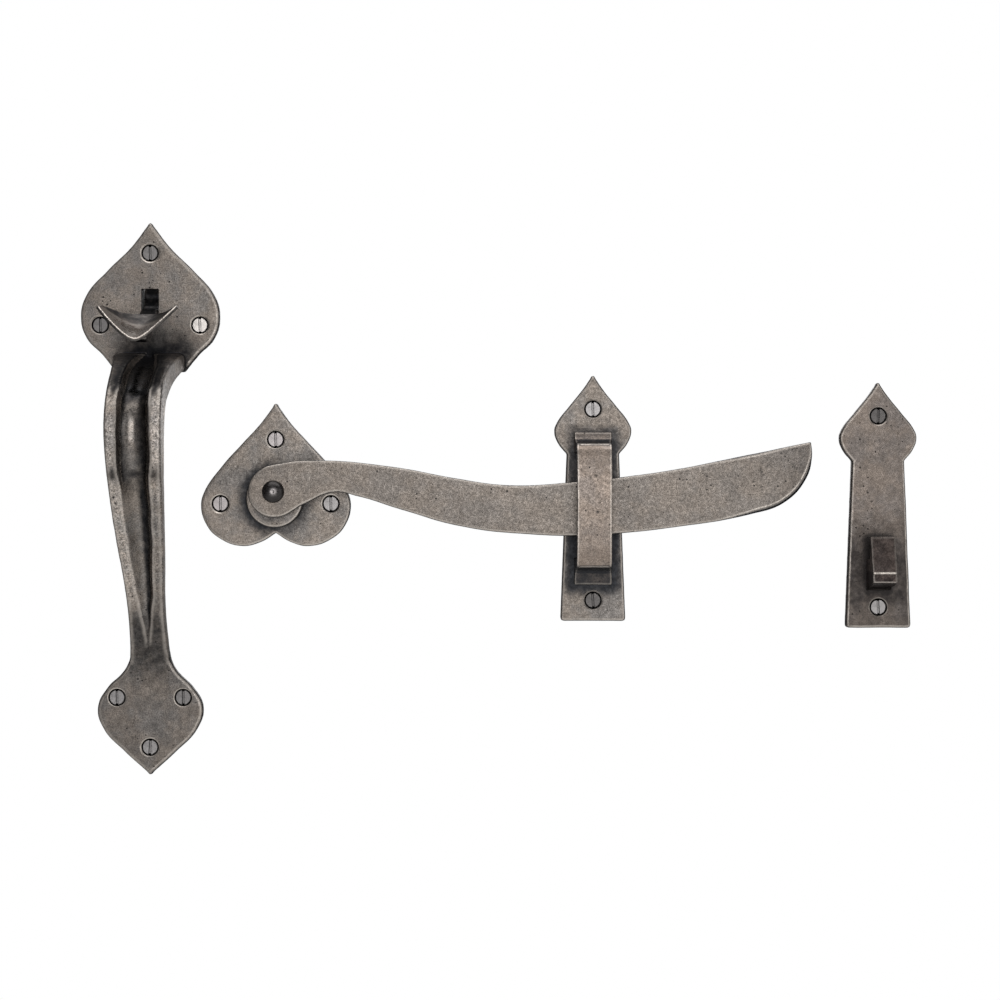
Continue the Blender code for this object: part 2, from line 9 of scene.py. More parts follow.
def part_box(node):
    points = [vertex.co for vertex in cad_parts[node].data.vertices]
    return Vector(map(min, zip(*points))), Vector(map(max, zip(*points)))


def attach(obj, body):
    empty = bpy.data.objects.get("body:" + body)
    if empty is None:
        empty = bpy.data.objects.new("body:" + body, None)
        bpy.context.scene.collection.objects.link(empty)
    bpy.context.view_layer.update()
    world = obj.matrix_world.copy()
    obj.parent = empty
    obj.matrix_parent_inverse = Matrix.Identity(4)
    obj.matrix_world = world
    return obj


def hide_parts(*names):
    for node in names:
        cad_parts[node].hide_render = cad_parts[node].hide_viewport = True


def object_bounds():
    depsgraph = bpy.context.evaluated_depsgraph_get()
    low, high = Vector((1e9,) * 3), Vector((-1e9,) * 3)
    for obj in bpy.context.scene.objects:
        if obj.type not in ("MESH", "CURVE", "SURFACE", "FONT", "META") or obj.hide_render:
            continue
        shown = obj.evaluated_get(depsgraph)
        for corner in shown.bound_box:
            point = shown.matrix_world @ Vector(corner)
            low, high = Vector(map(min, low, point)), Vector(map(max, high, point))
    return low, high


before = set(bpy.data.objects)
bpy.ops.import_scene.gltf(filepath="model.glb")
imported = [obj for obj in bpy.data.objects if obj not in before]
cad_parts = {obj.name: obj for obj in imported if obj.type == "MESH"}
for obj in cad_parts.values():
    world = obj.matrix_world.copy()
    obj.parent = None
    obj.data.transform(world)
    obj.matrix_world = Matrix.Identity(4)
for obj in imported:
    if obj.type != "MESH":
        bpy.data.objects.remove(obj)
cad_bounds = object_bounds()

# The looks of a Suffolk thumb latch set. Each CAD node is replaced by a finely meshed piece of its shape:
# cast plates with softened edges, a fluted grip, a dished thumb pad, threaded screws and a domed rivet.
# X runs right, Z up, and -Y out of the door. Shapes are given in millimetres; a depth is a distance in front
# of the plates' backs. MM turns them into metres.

MM = 0.001
WELD = 0.001 * MM
GAP = 0.3
PLATE = 4.0
OVERCUT = 1.0
CURVE_STEPS, BORE_SIDES, PIN_SIDES = 12, 48, 32
SMOOTH, CORNER = "AUTO", "VECTOR"
FACING_FRONT = Matrix.Rotation(math.pi / 2, 4, "X")
FACING_SIDE = Matrix(((0, 0, -1, 0), (-1, 0, 0, 0), (0, 1, 0, 0), (0, 0, 0, 1)))

# Colours of the aged metal: its two tones, the dark of its patina and of painted shade, and the colour of its
# worn edges and painted edge highlights
LIGHT, COOL = (0.300, 0.260, 0.226), (0.256, 0.236, 0.220)
DARK, BLACK, EDGE = (0.040, 0.041, 0.045), (0.018, 0.018, 0.020), (0.66, 0.60, 0.54)

# Forging and masks: the sizes of lumps, what counts as a wall, as standing out and as lying deep, how dark
# dents are, and how far apart pits may be
LUMP, FINE_LUMP = 13, 3.5
WALL_FACING, WALL_DROP, WALL_REACH = 0.3, 0.12, 3
NEAR_PASSES, WIDE_PASSES = 6, 60
STANDS_OUT, LIES_DEEP = (0.008, 0.035), (0.08, 0.75)
DENT_TONE, DENT_DARKEST = 2.6, 0.95
PIT_SPACING = 1.7

# Screws
HEAD_RADIUS, HEAD_RIM, HEAD_EDGE, HEAD_BEVEL, HEAD_BELOW = 3.4, 0.4, 0.32, 0.15, 0.3
SHANK_RADIUS, THREAD_ROOT, THREAD_PITCH = 1.7, 1.2, 1.5
SCREW_LENGTH, THREAD_START, SCREW_TIP = 22.0, 8.0, 4.0
SCREW_SIDES, RINGS_START, RINGS_STEP = 40, 3.2, 0.17
CONE_END = HEAD_RIM + HEAD_RADIUS - SHANK_RADIUS
DRIVE_SLOT_WIDTH, DRIVE_SLOT_DEPTH, SLOT_SILT, SLOT_CORNER, SLOT_NOTCH = 1.15, 1.0, 0.45, 0.24, 0.75
SEAT_RADIUS, SEAT_RIM, SEAT_FLARE, SEAT_FLARE_DEPTH = 3.85, 0.8, 0.5, 0.28

# Lit and shaded copies of one screw steel, each a colour and roughness, for the light or shade painted on
# each screw; and the copy that each unit's screws get
SCREW_LIT_STEELS = {
    "bright": ((0.80, 0.75, 0.71), 0.36), "pale": ((0.47, 0.435, 0.43), 0.38),
    "grey": ((0.36, 0.345, 0.34), 0.38), "dull": ((0.26, 0.248, 0.243), 0.42),
    "dark": ((0.14, 0.132, 0.128), 0.42),
}
SCREW_PAINTED_LIGHT = {
    "handle": ("dull", "dull", "bright", "grey", "dull", "grey"), "pivot_plate": ("pale", "pale", "grey"),
    "keeper": ("grey", "dark"), "catch": ("dark", "grey"),
}

# Plates: right half outlines
UPPER_PLATE = (
    (0, 22.9), (1.5, 21.3, CORNER), (8.4, 12.3), (19, 1.8), (28, -8.8), (30.4, -17.6),
    (28.2, -27.3), (20.9, -35.2), (15, -42.5, CORNER),
)
LOWER_PLATE = (
    (8.2, -164.5, CORNER), (9.6, -170), (12.4, -174.5), (18.4, -180.4), (23.1, -189.4),
    (20.5, -198.9), (10.7, -209.4), (1.5, -217.8, CORNER), (0, -219.1),
)
PIVOT_PLATE = (
    (0, -56.3), (1.5, -58.1, CORNER), (6.6, -65.1), (14, -73.2), (23.5, -83.6), (31, -94.2), (32.8, -101),
    (30.1, -110), (24.9, -115.3), (15, -118.8), (6.6, -117), (0, -113, CORNER),
)
STRAP_PLATE = (
    (0, 0), (1.4, -1.7, CORNER), (4.4, -6), (10.2, -13.2), (15.8, -20.6), (16.9, -24), (15.4, -29.2),
    (11.5, -34.2, CORNER), (14.2, -105.9, CORNER), (13.8, -107), (12.8, -107.4, CORNER),
)
KEEPER_TOP, CATCH_TOP = -44.2, -47.2

# Dents: place across and up, radius and depth. The handle's are places in the frame, the pivot plate's run
# across from its middle, the bar's from its pivot, and the others from the tip of the plate.
HANDLE_DENTS = (
    (-9.2, -97.5, 0.7, 0.5), (-8.6, -100, 0.6, 0.45), (-9.6, -94.6, 0.5, 0.3), (24, -15, 0.8, 0.12),
    (-17, -3.5, 1.0, 0.1), (10, -2, 0.8, 0.12), (-5, -191, 1.2, 0.1), (9, -196, 0.9, 0.12),
)
PIVOT_DENTS = ((-17, -84, 0.7, 0.15), (-22, -92, 0.6, 0.15), (12, -107, 0.8, 0.12))
BAR_DENTS = (
    (211.2, 9.6, 0.65, 0.28), (211.7, 8.6, 0.6, 0.3), (212.5, 7.6, 0.5, 0.22), (208.2, 4.4, 0.55, 0.24),
    (211.6, 2.2, 0.45, 0.28), (216.5, 12.4, 0.9, 0.12), (199, 8, 0.7, 0.12), (60, -1, 1.2, 0.1),
    (95, -8, 1.0, 0.12), (160, -4, 1.1, 0.12),
)
STRAP_DENTS = ((9, -22, 0.5, 0.2), (6.5, -20, 0.4, 0.15), (1, -29, 0.5, 0.12))
STAPLE_DENTS = (
    (0.5, -44, 0.5, 0.3), (-1.8, -44.6, 0.4, 0.25), (2, -55.5, 0.45, 0.25), (1.2, -59.5, 0.5, 0.35),
    (-0.6, -59, 0.3, 0.2), (-1.5, -65.5, 0.5, 0.2),
)

# Grip stations: depth and height of its middle, its width and thickness, and the width of its flute, of
# which FLUTE_SHARE is kept
GRIP = (
    (1.2, -38.2, 31.5, 8.4, 0.6), (8.5, -39.6, 29.5, 9, 8), (20.5, -44, 26.3, 10.5, 12),
    (30, -49.2, 24.5, 12, 13), (38.4, -55.6, 23.7, 13, 13), (43.3, -66, 24, 13, 14),
    (42.6, -80, 23.4, 12.2, 14.2), (37.2, -95, 22.2, 11, 12.5), (31, -107, 20.9, 10, 11.5),
    (24.5, -119, 19.4, 9, 10.4), (16, -135, 16.9, 8, 7.8), (10.5, -148, 15.8, 7, 4),
    (5, -161, 16.4, 6, 0.6), (2.8, -168, 17.4, 4.6, 0.6), (1.6, -175, 18, 2.4, 0.6),
)
GRIP_STEPS = 10
FLUTE_DEPTH, FLUTE_STEPS = 0.42, 16
BACK_ROUND, RIM_ROUND, ROOT_ROUND, ROUND_STEPS = 2.6, 1.0, 2.6, 4
FLUTE_SHARE = 0.94
FLUTE_TOP, FLUTE_BOTTOM, ROOT_BOTTOM, GRIP_CLEAR = -41, -156, -50, 12

# Behind the upper plate
SLOT_HALF, SLOT_TOP, SLOT_BOTTOM = 3.9, -6.0, -22.0
LUG_WIDTH, LUG_DEPTH, LUG_TOP, LUG_BOTTOM, LUG_ROOT = 3.4, 9.5, -4.0, -25.0, 2.0
WEB_DEPTH, WEB_TOP, WEB_BOTTOM, WEB_ROOT = 13.3, -22.4, -24.6, 1.3
LIP_DEPTH, LIP_LENGTH, LIP_TOP = 14.0, 3.0, -19.3
PIN_HEIGHT, PIN_BEHIND, PIN_RADIUS = -16.2, 4.6, 1.5

# Thumb piece
PAD_HALF_WIDTH, PAD_RISE, PAD_SLOPE = 16.9, 11.6, -0.384
PAD_TIP_DEPTH, PAD_FRONT_DEPTH, PAD_REAR_DEPTH = 36.5, 44.0, 19.5
PAD_MIDDLE_HEIGHT, PAD_THICKNESS, PAD_TIP, PAD_START = -28.4, 1.5, 0.7, 18
PAD_REAR_CURVE, PAD_REAR_FULLNESS, PAD_REAR_LIFT, PAD_VEE_ROUND = 2.4, 0.7, 2.6, 0.2
PAD_COLUMNS, PAD_ROWS = 64, 24
LEVER_WIDTH = 6.8
LEVER = (
    (33, -28), (24, -24.6), (15, -19.4), (6, -15.4), (0.6, -13.8), (-1.3, -10.6), (-2, -7), (-5.2, -3.6),
    (-8.8, -4.6), (-13, -9.6), (-18, -12.8), (-28, -13.4), (-56, -13), (-75, -11.2), (-78, -13.2),
    (-75, -16.2), (-56, -18.4), (-28, -18.9), (-12, -18.9), (-4.6, -19.9), (0.5, -18.8), (6, -19.6),
    (15, -24.6), (24, -29), (33, -30.6),
)

# Pivot unit
BOSS_RADIUS, BOSS_DEPTH, BOSS_BELOW = 12.5, 9.0, 3.0
BAR_BACK, BAR_FRONT = 9.3, 14.0
BAR_OUTLINE = (
    (-11, 0), (-7.2, 8.5), (5.5, 12.7), (18.5, 13.6), (50.9, 10.9), (79.5, 5.7), (100.8, 2.9), (129.8, 4.2),
    (168.5, 8.7), (206.4, 16.1), (233.2, 21.6, CORNER), (233.6, 15), (231.1, 5.7), (221.6, -4.7),
    (206.4, -9.9), (176.5, -15.1), (137.9, -18.8), (115.4, -18.8), (81.6, -15.1), (53.9, -7.3), (37, -2.1),
    (26, -0.2), (13.5, -5.2), (0.6, -11.2), (-8, -7.6),
)
RIVET_HEAD_RADIUS, RIVET_RISE, RIVET_SHANK, RIVET_FLARE, DOME_STEPS = 4.85, 3.0, 3.0, 1.2, 14

# Staple and hook
STAPLE_TOP, STAPLE_BOTTOM, STAPLE_FRONT, STAPLE_STRAP = -30.0, -83.6, 20.0, 4.0
STAPLE_UPPER_FOOT, STAPLE_LOWER_FOOT, FOOT_DEPTH, FOOT_EDGE = 5.2, 7.8, 8.0, 1.2
FOOT_SAG = (0.4, 0.35)
STAPLE_WIDTH, FOOT_WIDTH, STAPLE_CORNER = 15.0, 16.6, 3.0
TENON_WIDTH, TENON_HEIGHT = 8.0, 3.6
HOOK_WIDTH = 10.4
HOOK = (
    (PLATE + GAP, -77.4, CORNER), (11.5, -77.4, CORNER), (13.4, -75.4), (13.6, -67.6, CORNER),
    (15.6, -67.4, CORNER), (20.7, -82.6, CORNER), (21, -87, CORNER), (15, -88.6), (8.5, -89.4),
    (PLATE + GAP, -91, CORNER),
)
HOOK_TENON_MIDDLE, HOOK_TENON_WIDTH, HOOK_TENON_HEIGHT, HOOK_TENON_FRONT = -84.5, 6.0, 8.0, 7.0
HOOK_RIDGE, HOOK_RIDGE_DEPTH = -82.6, 19

# Camera and lights: each light's place and size in metres, and its power
CAMERA_PLACE, CAMERA_LENS, CAMERA_SENSOR = (0.1533, -0.925, -0.0986), 75.7, 36
LIGHTS = {
    "key": ((0.22, -1.4, 0.05), (0.8, 0.8), 4.7),
    "side": ((1.5, -0.9, 0.0), (0.9, 1.1), 3.1),
    "top": ((0.15, -0.3, 0.8), (1.3, 0.6), 5.0),
    "rake": ((0.1, 0.35, 0.85), (0.9, 0.4), 3.0),
    "back": ((0.3, 1.3, 0.4), (1.2, 1.0), 7.0),
}
FLOOR_DROP = 0.24


# ---- mesh tools

def place(x, depth, z):
    return Matrix.Translation((x * MM, -depth * MM, z * MM))


def front_place(x, depth, z):
    """A place whose local Z runs out of the door, and its local Y up."""
    return place(x, depth, z) @ FACING_FRONT


def new_object(name, data, matrix=Matrix()):
    obj = bpy.data.objects.new(name, data)
    obj.matrix_world = matrix
    bpy.context.scene.collection.objects.link(obj)
    return obj


def remove(obj):
    bpy.data.objects.remove(obj, do_unlink=True)


def object_from(shape, name, matrix=Matrix()):
    """A new object from a bmesh, which is freed."""
    mesh = bpy.data.meshes.new(name)
    shape.to_mesh(mesh)
    shape.free()
    return new_object(name, mesh, matrix)


def finished_mesh(obj, name):
    """Replaces an object by a plain mesh of its evaluated shape, in world space, with its caps welded."""
    bpy.context.view_layer.update()
    mesh = bpy.data.meshes.new_from_object(obj.evaluated_get(bpy.context.evaluated_depsgraph_get()))
    mesh.name = name
    mesh.transform(obj.matrix_world)
    shape = bmesh.new()
    shape.from_mesh(mesh)
    bmesh.ops.remove_doubles(shape, verts=shape.verts, dist=WELD)
    bmesh.ops.recalc_face_normals(shape, faces=shape.faces)
    shape.to_mesh(mesh)
    shape.free()
    remove(obj)
    return new_object(name, mesh)


def outline_solid(name, knots, thickness, matrix):
    curve = bpy.data.curves.new(name, "CURVE")
    curve.dimensions = "2D"
    curve.fill_mode = "BOTH"
    curve.resolution_u = CURVE_STEPS
    curve.extrude = thickness / 2 * MM
    spline = curve.splines.new("BEZIER")
    spline.bezier_points.add(len(knots) - 1)
    spline.use_cyclic_u = True
    for point, (across, up, *kind) in zip(spline.bezier_points, knots):
        point.co = (across * MM, up * MM, 0)
        point.handle_left_type = point.handle_right_type = kind[0] if kind else SMOOTH
    return finished_mesh(new_object(name, curve, matrix), name)


def turned_solid(name, profile, matrix, steps=64):
    """A profile of (radius, height), from the top of its axis down its outer side, turned about local Z."""
    mesh = bpy.data.meshes.new(name)
    edges = [(step, step + 1) for step in range(len(profile) - 1)]
    mesh.from_pydata([(radius * MM, 0, height * MM) for radius, height in profile], edges, [])
    obj = new_object(name, mesh, matrix)
    turn = obj.modifiers.new("Turn", "SCREW")
    turn.steps = turn.render_steps = steps
    turn.use_merge_vertices = True
    turn.merge_threshold = WELD
    return finished_mesh(obj, name)


def bore(radius, top, bottom, matrix, steps):
    """A cutter for a straight round hole, between two heights of its axis."""
    return turned_solid("bore", ((0, top), (radius, top), (radius, bottom), (0, bottom)), matrix, steps)


def block(name, low, high, rounding=0.0):
    """A block between two corners given as x, depth and height, its edges rounded."""
    shape = bmesh.new()
    sides = [(b - a) * MM for a, b in zip(low, high)]
    bmesh.ops.create_cube(shape, size=1, matrix=Matrix.Diagonal((*sides, 1)))
    if rounding:
        rounded = {"offset": rounding * MM, "segments": 3, "profile": 0.5, "affect": "EDGES"}
        bmesh.ops.bevel(shape, geom=shape.edges, **rounded)
    middle = place(*((a + b) / 2 for a, b in zip(low, high)))
    return finished_mesh(object_from(shape, name, middle), name)


def tenon(x, z, width, height, back, front, gap=0.0, rounding=0.0):
    """A block that runs through a plate, with its middle at x and z. A gap all round makes it a mortise."""
    low = (x - width / 2 - gap, back, z - height / 2 - gap)
    return block("tenon", low, (x + width / 2 + gap, front, z + height / 2 + gap), rounding)


def loft(name, rings):
    """A closed skin over rings of points, from the first ring to the last."""
    shape = bmesh.new()
    rings = [[shape.verts.new(point) for point in ring] for ring in rings]
    for upper, lower in zip(rings, rings[1:]):
        for side, corner in enumerate(upper):
            following = (side + 1) % len(upper)
            shape.faces.new((corner, upper[following], lower[following], lower[side]))
    shape.faces.new(rings[0])
    shape.faces.new(rings[-1])
    bmesh.ops.recalc_face_normals(shape, faces=shape.faces)
    return object_from(shape, name)


def joined(name, shells):
    shape = bmesh.new()
    for shell in shells:
        shape.from_mesh(shell.data)
        remove(shell)
    return object_from(shape, name)


def cast(name, shells, voxel, passes=3):
    """Melts overlapping closed shells into one fine skin, with softened edges and small fillets."""
    obj = joined(name, shells)
    skin = obj.modifiers.new("Skin", "REMESH")
    skin.mode = "VOXEL"
    skin.voxel_size = voxel * MM
    soften = obj.modifiers.new("Soften", "SMOOTH")
    soften.factor = 0.5
    soften.iterations = passes
    return finished_mesh(obj, name)


def numbers_of(items, what, columns, kind=np.float32):
    found = np.empty(len(items) * columns, kind)
    items.foreach_get(what, found)
    return found.reshape(-1, columns)


def points_of(mesh, what="co"):
    return numbers_of(mesh.vertices, what, 3).astype(float)


def move_points(mesh, points):
    mesh.vertices.foreach_set("co", points.astype(np.float32).ravel())
    mesh.update()


def seen(obj):
    """Each vertex's place across, depth in front of the plates' backs and height, in millimetres."""
    points = points_of(obj.data) / MM
    return points[:, 0], -points[:, 1], points[:, 2]


def tree_of(points):
    tree = kdtree.KDTree(len(points))
    for index, point in enumerate(points):
        tree.insert(point, index)
    tree.balance()
    return tree


def averaged(values, edges, passes):
    """Each vertex's values moved towards the mean of its neighbours, several times over."""
    ends = np.concatenate([edges[:, 0], edges[:, 1]])
    others = np.concatenate([edges[:, 1], edges[:, 0]])
    size = len(values)
    count = np.maximum(np.bincount(ends, minlength=size), 1)[:, None]
    for _ in range(passes):
        columns = [np.bincount(ends, weights=column[others], minlength=size) for column in values.T]
        values = values * 0.4 + np.stack(columns, axis=1) / count * 0.6
    return values


def noise_at(points, size, seed=0.0):
    """Smooth noise, about -1 to 1, whose lumps are about size millimetres across."""
    shift = Vector((seed * 17.3, seed * 5.9, seed * 11.1))
    return np.array([noise.noise(Vector(p) / (size * MM) + shift) for p in points])


def ease(low, high, values):
    """0 up to low, 1 from high on, and a smooth step between them. High may be less than low."""
    t = np.clip((values - low) / (high - low), 0, 1)
    return t * t * (3 - 2 * t)


def bell(away, width):
    """1 at no distance away, falling smoothly to a third at the width."""
    return np.exp(-((away / width) ** 2))


def forge(obj, amount, seed, dents=()):
    """Gives the front a hand-finished unevenness, and dents of (x, z, radius, depth). The back stays flat."""
    points, normals = points_of(obj.data), points_of(obj.data, "normal")
    front = ease(0.5, PLATE * 0.8, -points[:, 1] / MM)
    height = amount * noise_at(points, LUMP, seed) + 0.35 * amount * noise_at(points, FINE_LUMP, seed + 1)
    for x, z, radius, depth in dents:
        away = np.hypot(points[:, 0] / MM - x, points[:, 2] / MM - z)
        height -= depth * bell(away, radius) * (-normals[:, 1] > 0.6)
    points += normals * (height * front * MM)[:, None]
    move_points(obj.data, points)


def dents_from(x, z, dents):
    return [(x + across, z + up, radius, depth) for across, up, radius, depth in dents]


def worn_and_hollow(obj):
    """How far each vertex stands out of its near surroundings, and lies deep in its wide ones, 0 to 1."""
    mesh = obj.data
    points, normals = points_of(mesh), points_of(mesh, "normal")
    edges = numbers_of(mesh.edges, "vertices", 2, np.int32)
    near = averaged(points, edges, NEAR_PASSES)
    wide = averaged(near, edges, WIDE_PASSES)
    stands_out = ((points - near) * normals).sum(axis=1) / MM
    lies_deep = ((wide - points) * normals).sum(axis=1) / MM
    worn = averaged(ease(*STANDS_OUT, stands_out)[:, None], edges, 1)[:, 0]
    hollow = averaged(ease(*LIES_DEEP, lies_deep)[:, None], edges, 3)[:, 0]
    return worn, hollow


def from_outer_edge(mesh):
    """How far each vertex lies in from the nearest wall that drops away behind it, in millimetres."""
    points, normals = points_of(mesh), points_of(mesh, "normal")
    is_wall = np.abs(normals[:, 1]) < WALL_FACING
    tree = tree_of(points[is_wall])
    away = np.where(is_wall, 0.0, 99.0)
    for index in np.nonzero(normals[:, 1] <= -WALL_FACING)[0]:
        x, y, z = points[index]
        found, _, reach = tree.find((x, y, z))
        if found[1] > y + WALL_DROP * MM and reach < WALL_REACH * MM:
            away[index] = math.hypot(found[0] - x, found[2] - z) / MM
    return away


def cut(obj, cutters):
    """Takes closed cutters out of a piece, leaving crisp edges."""
    tool = joined(f"{obj.name}_cutters", cutters)
    opening = obj.modifiers.new("Openings", "BOOLEAN")
    opening.operation = "DIFFERENCE"
    opening.solver = "MANIFOLD"
    opening.object = tool
    name = obj.name
    obj.name = f"{name}_uncut"
    whole = finished_mesh(obj, name)
    remove(tool)
    return whole


def set_mask(obj, name, values):
    attribute = obj.data.attributes.get(name) or obj.data.attributes.new(name, "FLOAT", "POINT")
    attribute.data.foreach_set("value", np.clip(values, 0, 1).astype(np.float32))


def mask_of(obj, name):
    return numbers_of(obj.data.attributes[name].data, "value", 1)[:, 0]


def scale_mask(obj, name, factor):
    set_mask(obj, name, mask_of(obj, name) * factor)


def shade(obj, angle=50):
    obj.data.shade_smooth()
    obj.data.set_sharp_from_angle(angle=math.radians(angle))


def seat_cutter(x, z):
    hole, end = SHANK_RADIUS + GAP, -PLATE - OVERCUT
    profile = (
        (0, OVERCUT), (SEAT_RADIUS + SEAT_FLARE + OVERCUT, OVERCUT), (SEAT_RADIUS + SEAT_FLARE, 0),
        (SEAT_RADIUS, -SEAT_FLARE_DEPTH), (SEAT_RADIUS, -SEAT_RIM),
        (hole, -SEAT_RIM - (SEAT_RADIUS - SHANK_RADIUS - GAP)), (hole, end), (0, end),
    )
    return turned_solid("seat", profile, front_place(x, PLATE, z), BORE_SIDES)


def finish_cast(obj, patina_and_shade, rim, cutters=(), screws=(), dents=(), wear=0.4, seats=0.7, rim_at=None,
                light=None, calm=None):
    """Cuts the screw seats and openings, then gives the piece its masks: worn on edges and seat rims, dark in
    hollows, seats, dents and wherever the given function for patina and painted shade says, and a painted
    highlight line just inside the outer edges with painted shade outside it. rim is the painted highlight's
    distance from the edge, its width, its brightness, and the darkness of the painted shade outside; rim_at
    moves it further in, and light adds more painted highlight. calm says where the shape's own hollows don't
    count. That function, rim_at, light and calm take the points in millimetres."""
    worn, hollow = worn_and_hollow(obj)
    away_from_edge = from_outer_edge(obj.data)
    tree = tree_of(points_of(obj.data))
    cutters = [*(seat_cutter(x, z) for x, z in screws), *cutters]
    if cutters:
        obj = cut(obj, cutters)
    nearest = np.array([tree.find(vertex.co)[1] for vertex in obj.data.vertices])
    worn, hollow = worn[nearest] * wear, hollow[nearest]
    x, depth, z = seen(obj)
    if calm:
        hollow *= 1 - calm(x, depth, z)
    distance, width, brightness, darkness = rim
    inward = away_from_edge[nearest] - distance - (rim_at(x, depth, z) if rim_at else 0)
    # A painted highlight: a bright line on the rounded rim just inside the outer edge, and more where light
    # says.
    painted_highlight = brightness * bell(inward, width)
    if light:
        painted_highlight = np.maximum(painted_highlight, light(x, depth, z))
    set_mask(obj, "painted_highlight", painted_highlight)
    # Painted shade outside the painted highlight, on the side walls; then patina and painted shade where the
    # given function says.
    hollow = np.maximum(hollow, darkness * ease(-0.15, -0.5, inward))
    hollow = np.maximum(hollow, patina_and_shade(x, depth, z))
    for screw_x, screw_z in screws:
        away = np.hypot(x - screw_x, z - screw_z)
        worn = np.maximum(worn, seats * (away < SEAT_RADIUS + SEAT_FLARE + 0.1) * (depth > PLATE - SEAT_RIM))
        in_seat = (away < SEAT_RADIUS + 0.1) * (depth < PLATE - SEAT_FLARE_DEPTH - 0.15)
        hollow = np.maximum(hollow, in_seat)
    for dent_x, dent_z, radius, deep in dents:
        away = np.hypot(x - dent_x, z - dent_z)
        hollow = np.maximum(hollow, min(deep * DENT_TONE, DENT_DARKEST) * bell(away, radius) * (depth > 1))
    set_mask(obj, "worn", worn)
    set_mask(obj, "patina_and_shade", hollow)
    shade(obj)
    return obj


def mirrored(half):
    return half + tuple((-knot[0], *knot[1:]) for knot in reversed(half) if knot[0])


def plate_shell(name, half, x, z):
    """A plate with a rounded front rim, from its right half's outline."""
    obj = outline_solid(name, mirrored(half), PLATE, front_place(x, PLATE / 2, z))
    return round_front(obj, PLATE)


def round_front(obj, depth, width=1.1):
    shape = bmesh.new()
    shape.from_mesh(obj.data)
    rim = [
        edge for edge in shape.edges
        if all(abs(-vertex.co.y - depth * MM) < 0.01 * MM for vertex in edge.verts)
        and edge.calc_face_angle(0) > math.radians(60)
    ]
    bmesh.ops.bevel(shape, geom=rim, offset=width * MM, segments=4, profile=0.5, affect="EDGES")
    shape.to_mesh(obj.data)
    shape.free()
    return obj


def middle_of(node):
    """Where a CAD node's middle stands across the door and in height, in millimetres."""
    low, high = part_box(node)
    return (low.x + high.x) / 2 / MM, (low.z + high.z) / 2 / MM


def screws_of(prefix, count):
    return [middle_of(f"{prefix}_screw_{number}") for number in range(1, count + 1)]


# ---- materials

class Tree:
    """A material's nodes, made one call at a time."""

    def __init__(self, name):
        self.material = bpy.data.materials.new(name)
        self.material.use_nodes = True
        self.nodes = self.material.node_tree.nodes
        self.links = self.material.node_tree.links
        self.shader = self.nodes["Principled BSDF"]

    def put(self, socket, value):
        if isinstance(value, bpy.types.NodeSocket):
            self.links.new(value, socket)
        else:
            socket.default_value = value

    def fill(self, node, inputs):
        for name, value in inputs.items():
            self.put(node.inputs[name.replace("_", " ")], value)

    def node(self, kind, settings=(), **inputs):
        made = self.nodes.new(kind)
        for name, value in dict(settings).items():
            setattr(made, name, value)
        self.fill(made, inputs)
        return made

    def surface(self, **inputs):
        """Fills the shader's own sockets, and gives the finished material."""
        self.fill(self.shader, inputs)
        return self.material

    def mask(self, name):
        return self.node("ShaderNodeAttribute", {"attribute_name": name}).outputs["Fac"]

    def noise(self, size, detail, roughness, shift=(0, 0, 0), stretch=(1, 1, 1)):
        """Noise with lumps of about size millimetres."""
        where = self.node("ShaderNodeTexCoord").outputs["Object"]
        moved = self.node("ShaderNodeMapping", Vector=where, Location=shift, Scale=stretch).outputs[0]
        scale = 1 / (size * MM)
        made = self.node("ShaderNodeTexNoise", Vector=moved, Scale=scale, Detail=detail, Roughness=roughness)
        return made.outputs["Fac"]

    def ramp(self, value, low, high, to_low=0.0, to_high=1.0):
        """A smooth change from to_low to to_high, while the value goes from low to high."""
        made = self.node("ShaderNodeMapRange", {"interpolation_type": "SMOOTHSTEP"}, Value=value)
        self.fill(made, {"From Min": low, "From Max": high, "To Min": to_low, "To Max": to_high})
        return made.outputs[0]

    def math(self, operation, a, b):
        made = self.node("ShaderNodeMath", {"operation": operation})
        self.put(made.inputs[0], a)
        self.put(made.inputs[1], b)
        return made.outputs[0]

    def times(self, a, b):
        return self.math("MULTIPLY", a, b)

    def plus(self, a, b):
        return self.math("ADD", a, b)

    def mix(self, share, a, b, blend="MIX"):
        made = self.node("ShaderNodeMix", {"data_type": "RGBA", "blend_type": blend})
        for index, value in ((0, share), (6, a), (7, b)):
            self.put(made.inputs[index], value if not isinstance(value, tuple) else (*value, 1))
        return made.outputs[2]

    def bump(self, strength, height_mm, height):
        """A bumped normal: height_mm is how far the height's 0 to 1 stands out."""
        made = self.node("ShaderNodeBump", Strength=strength, Distance=height_mm * MM, Height=height)
        return made.outputs[0]


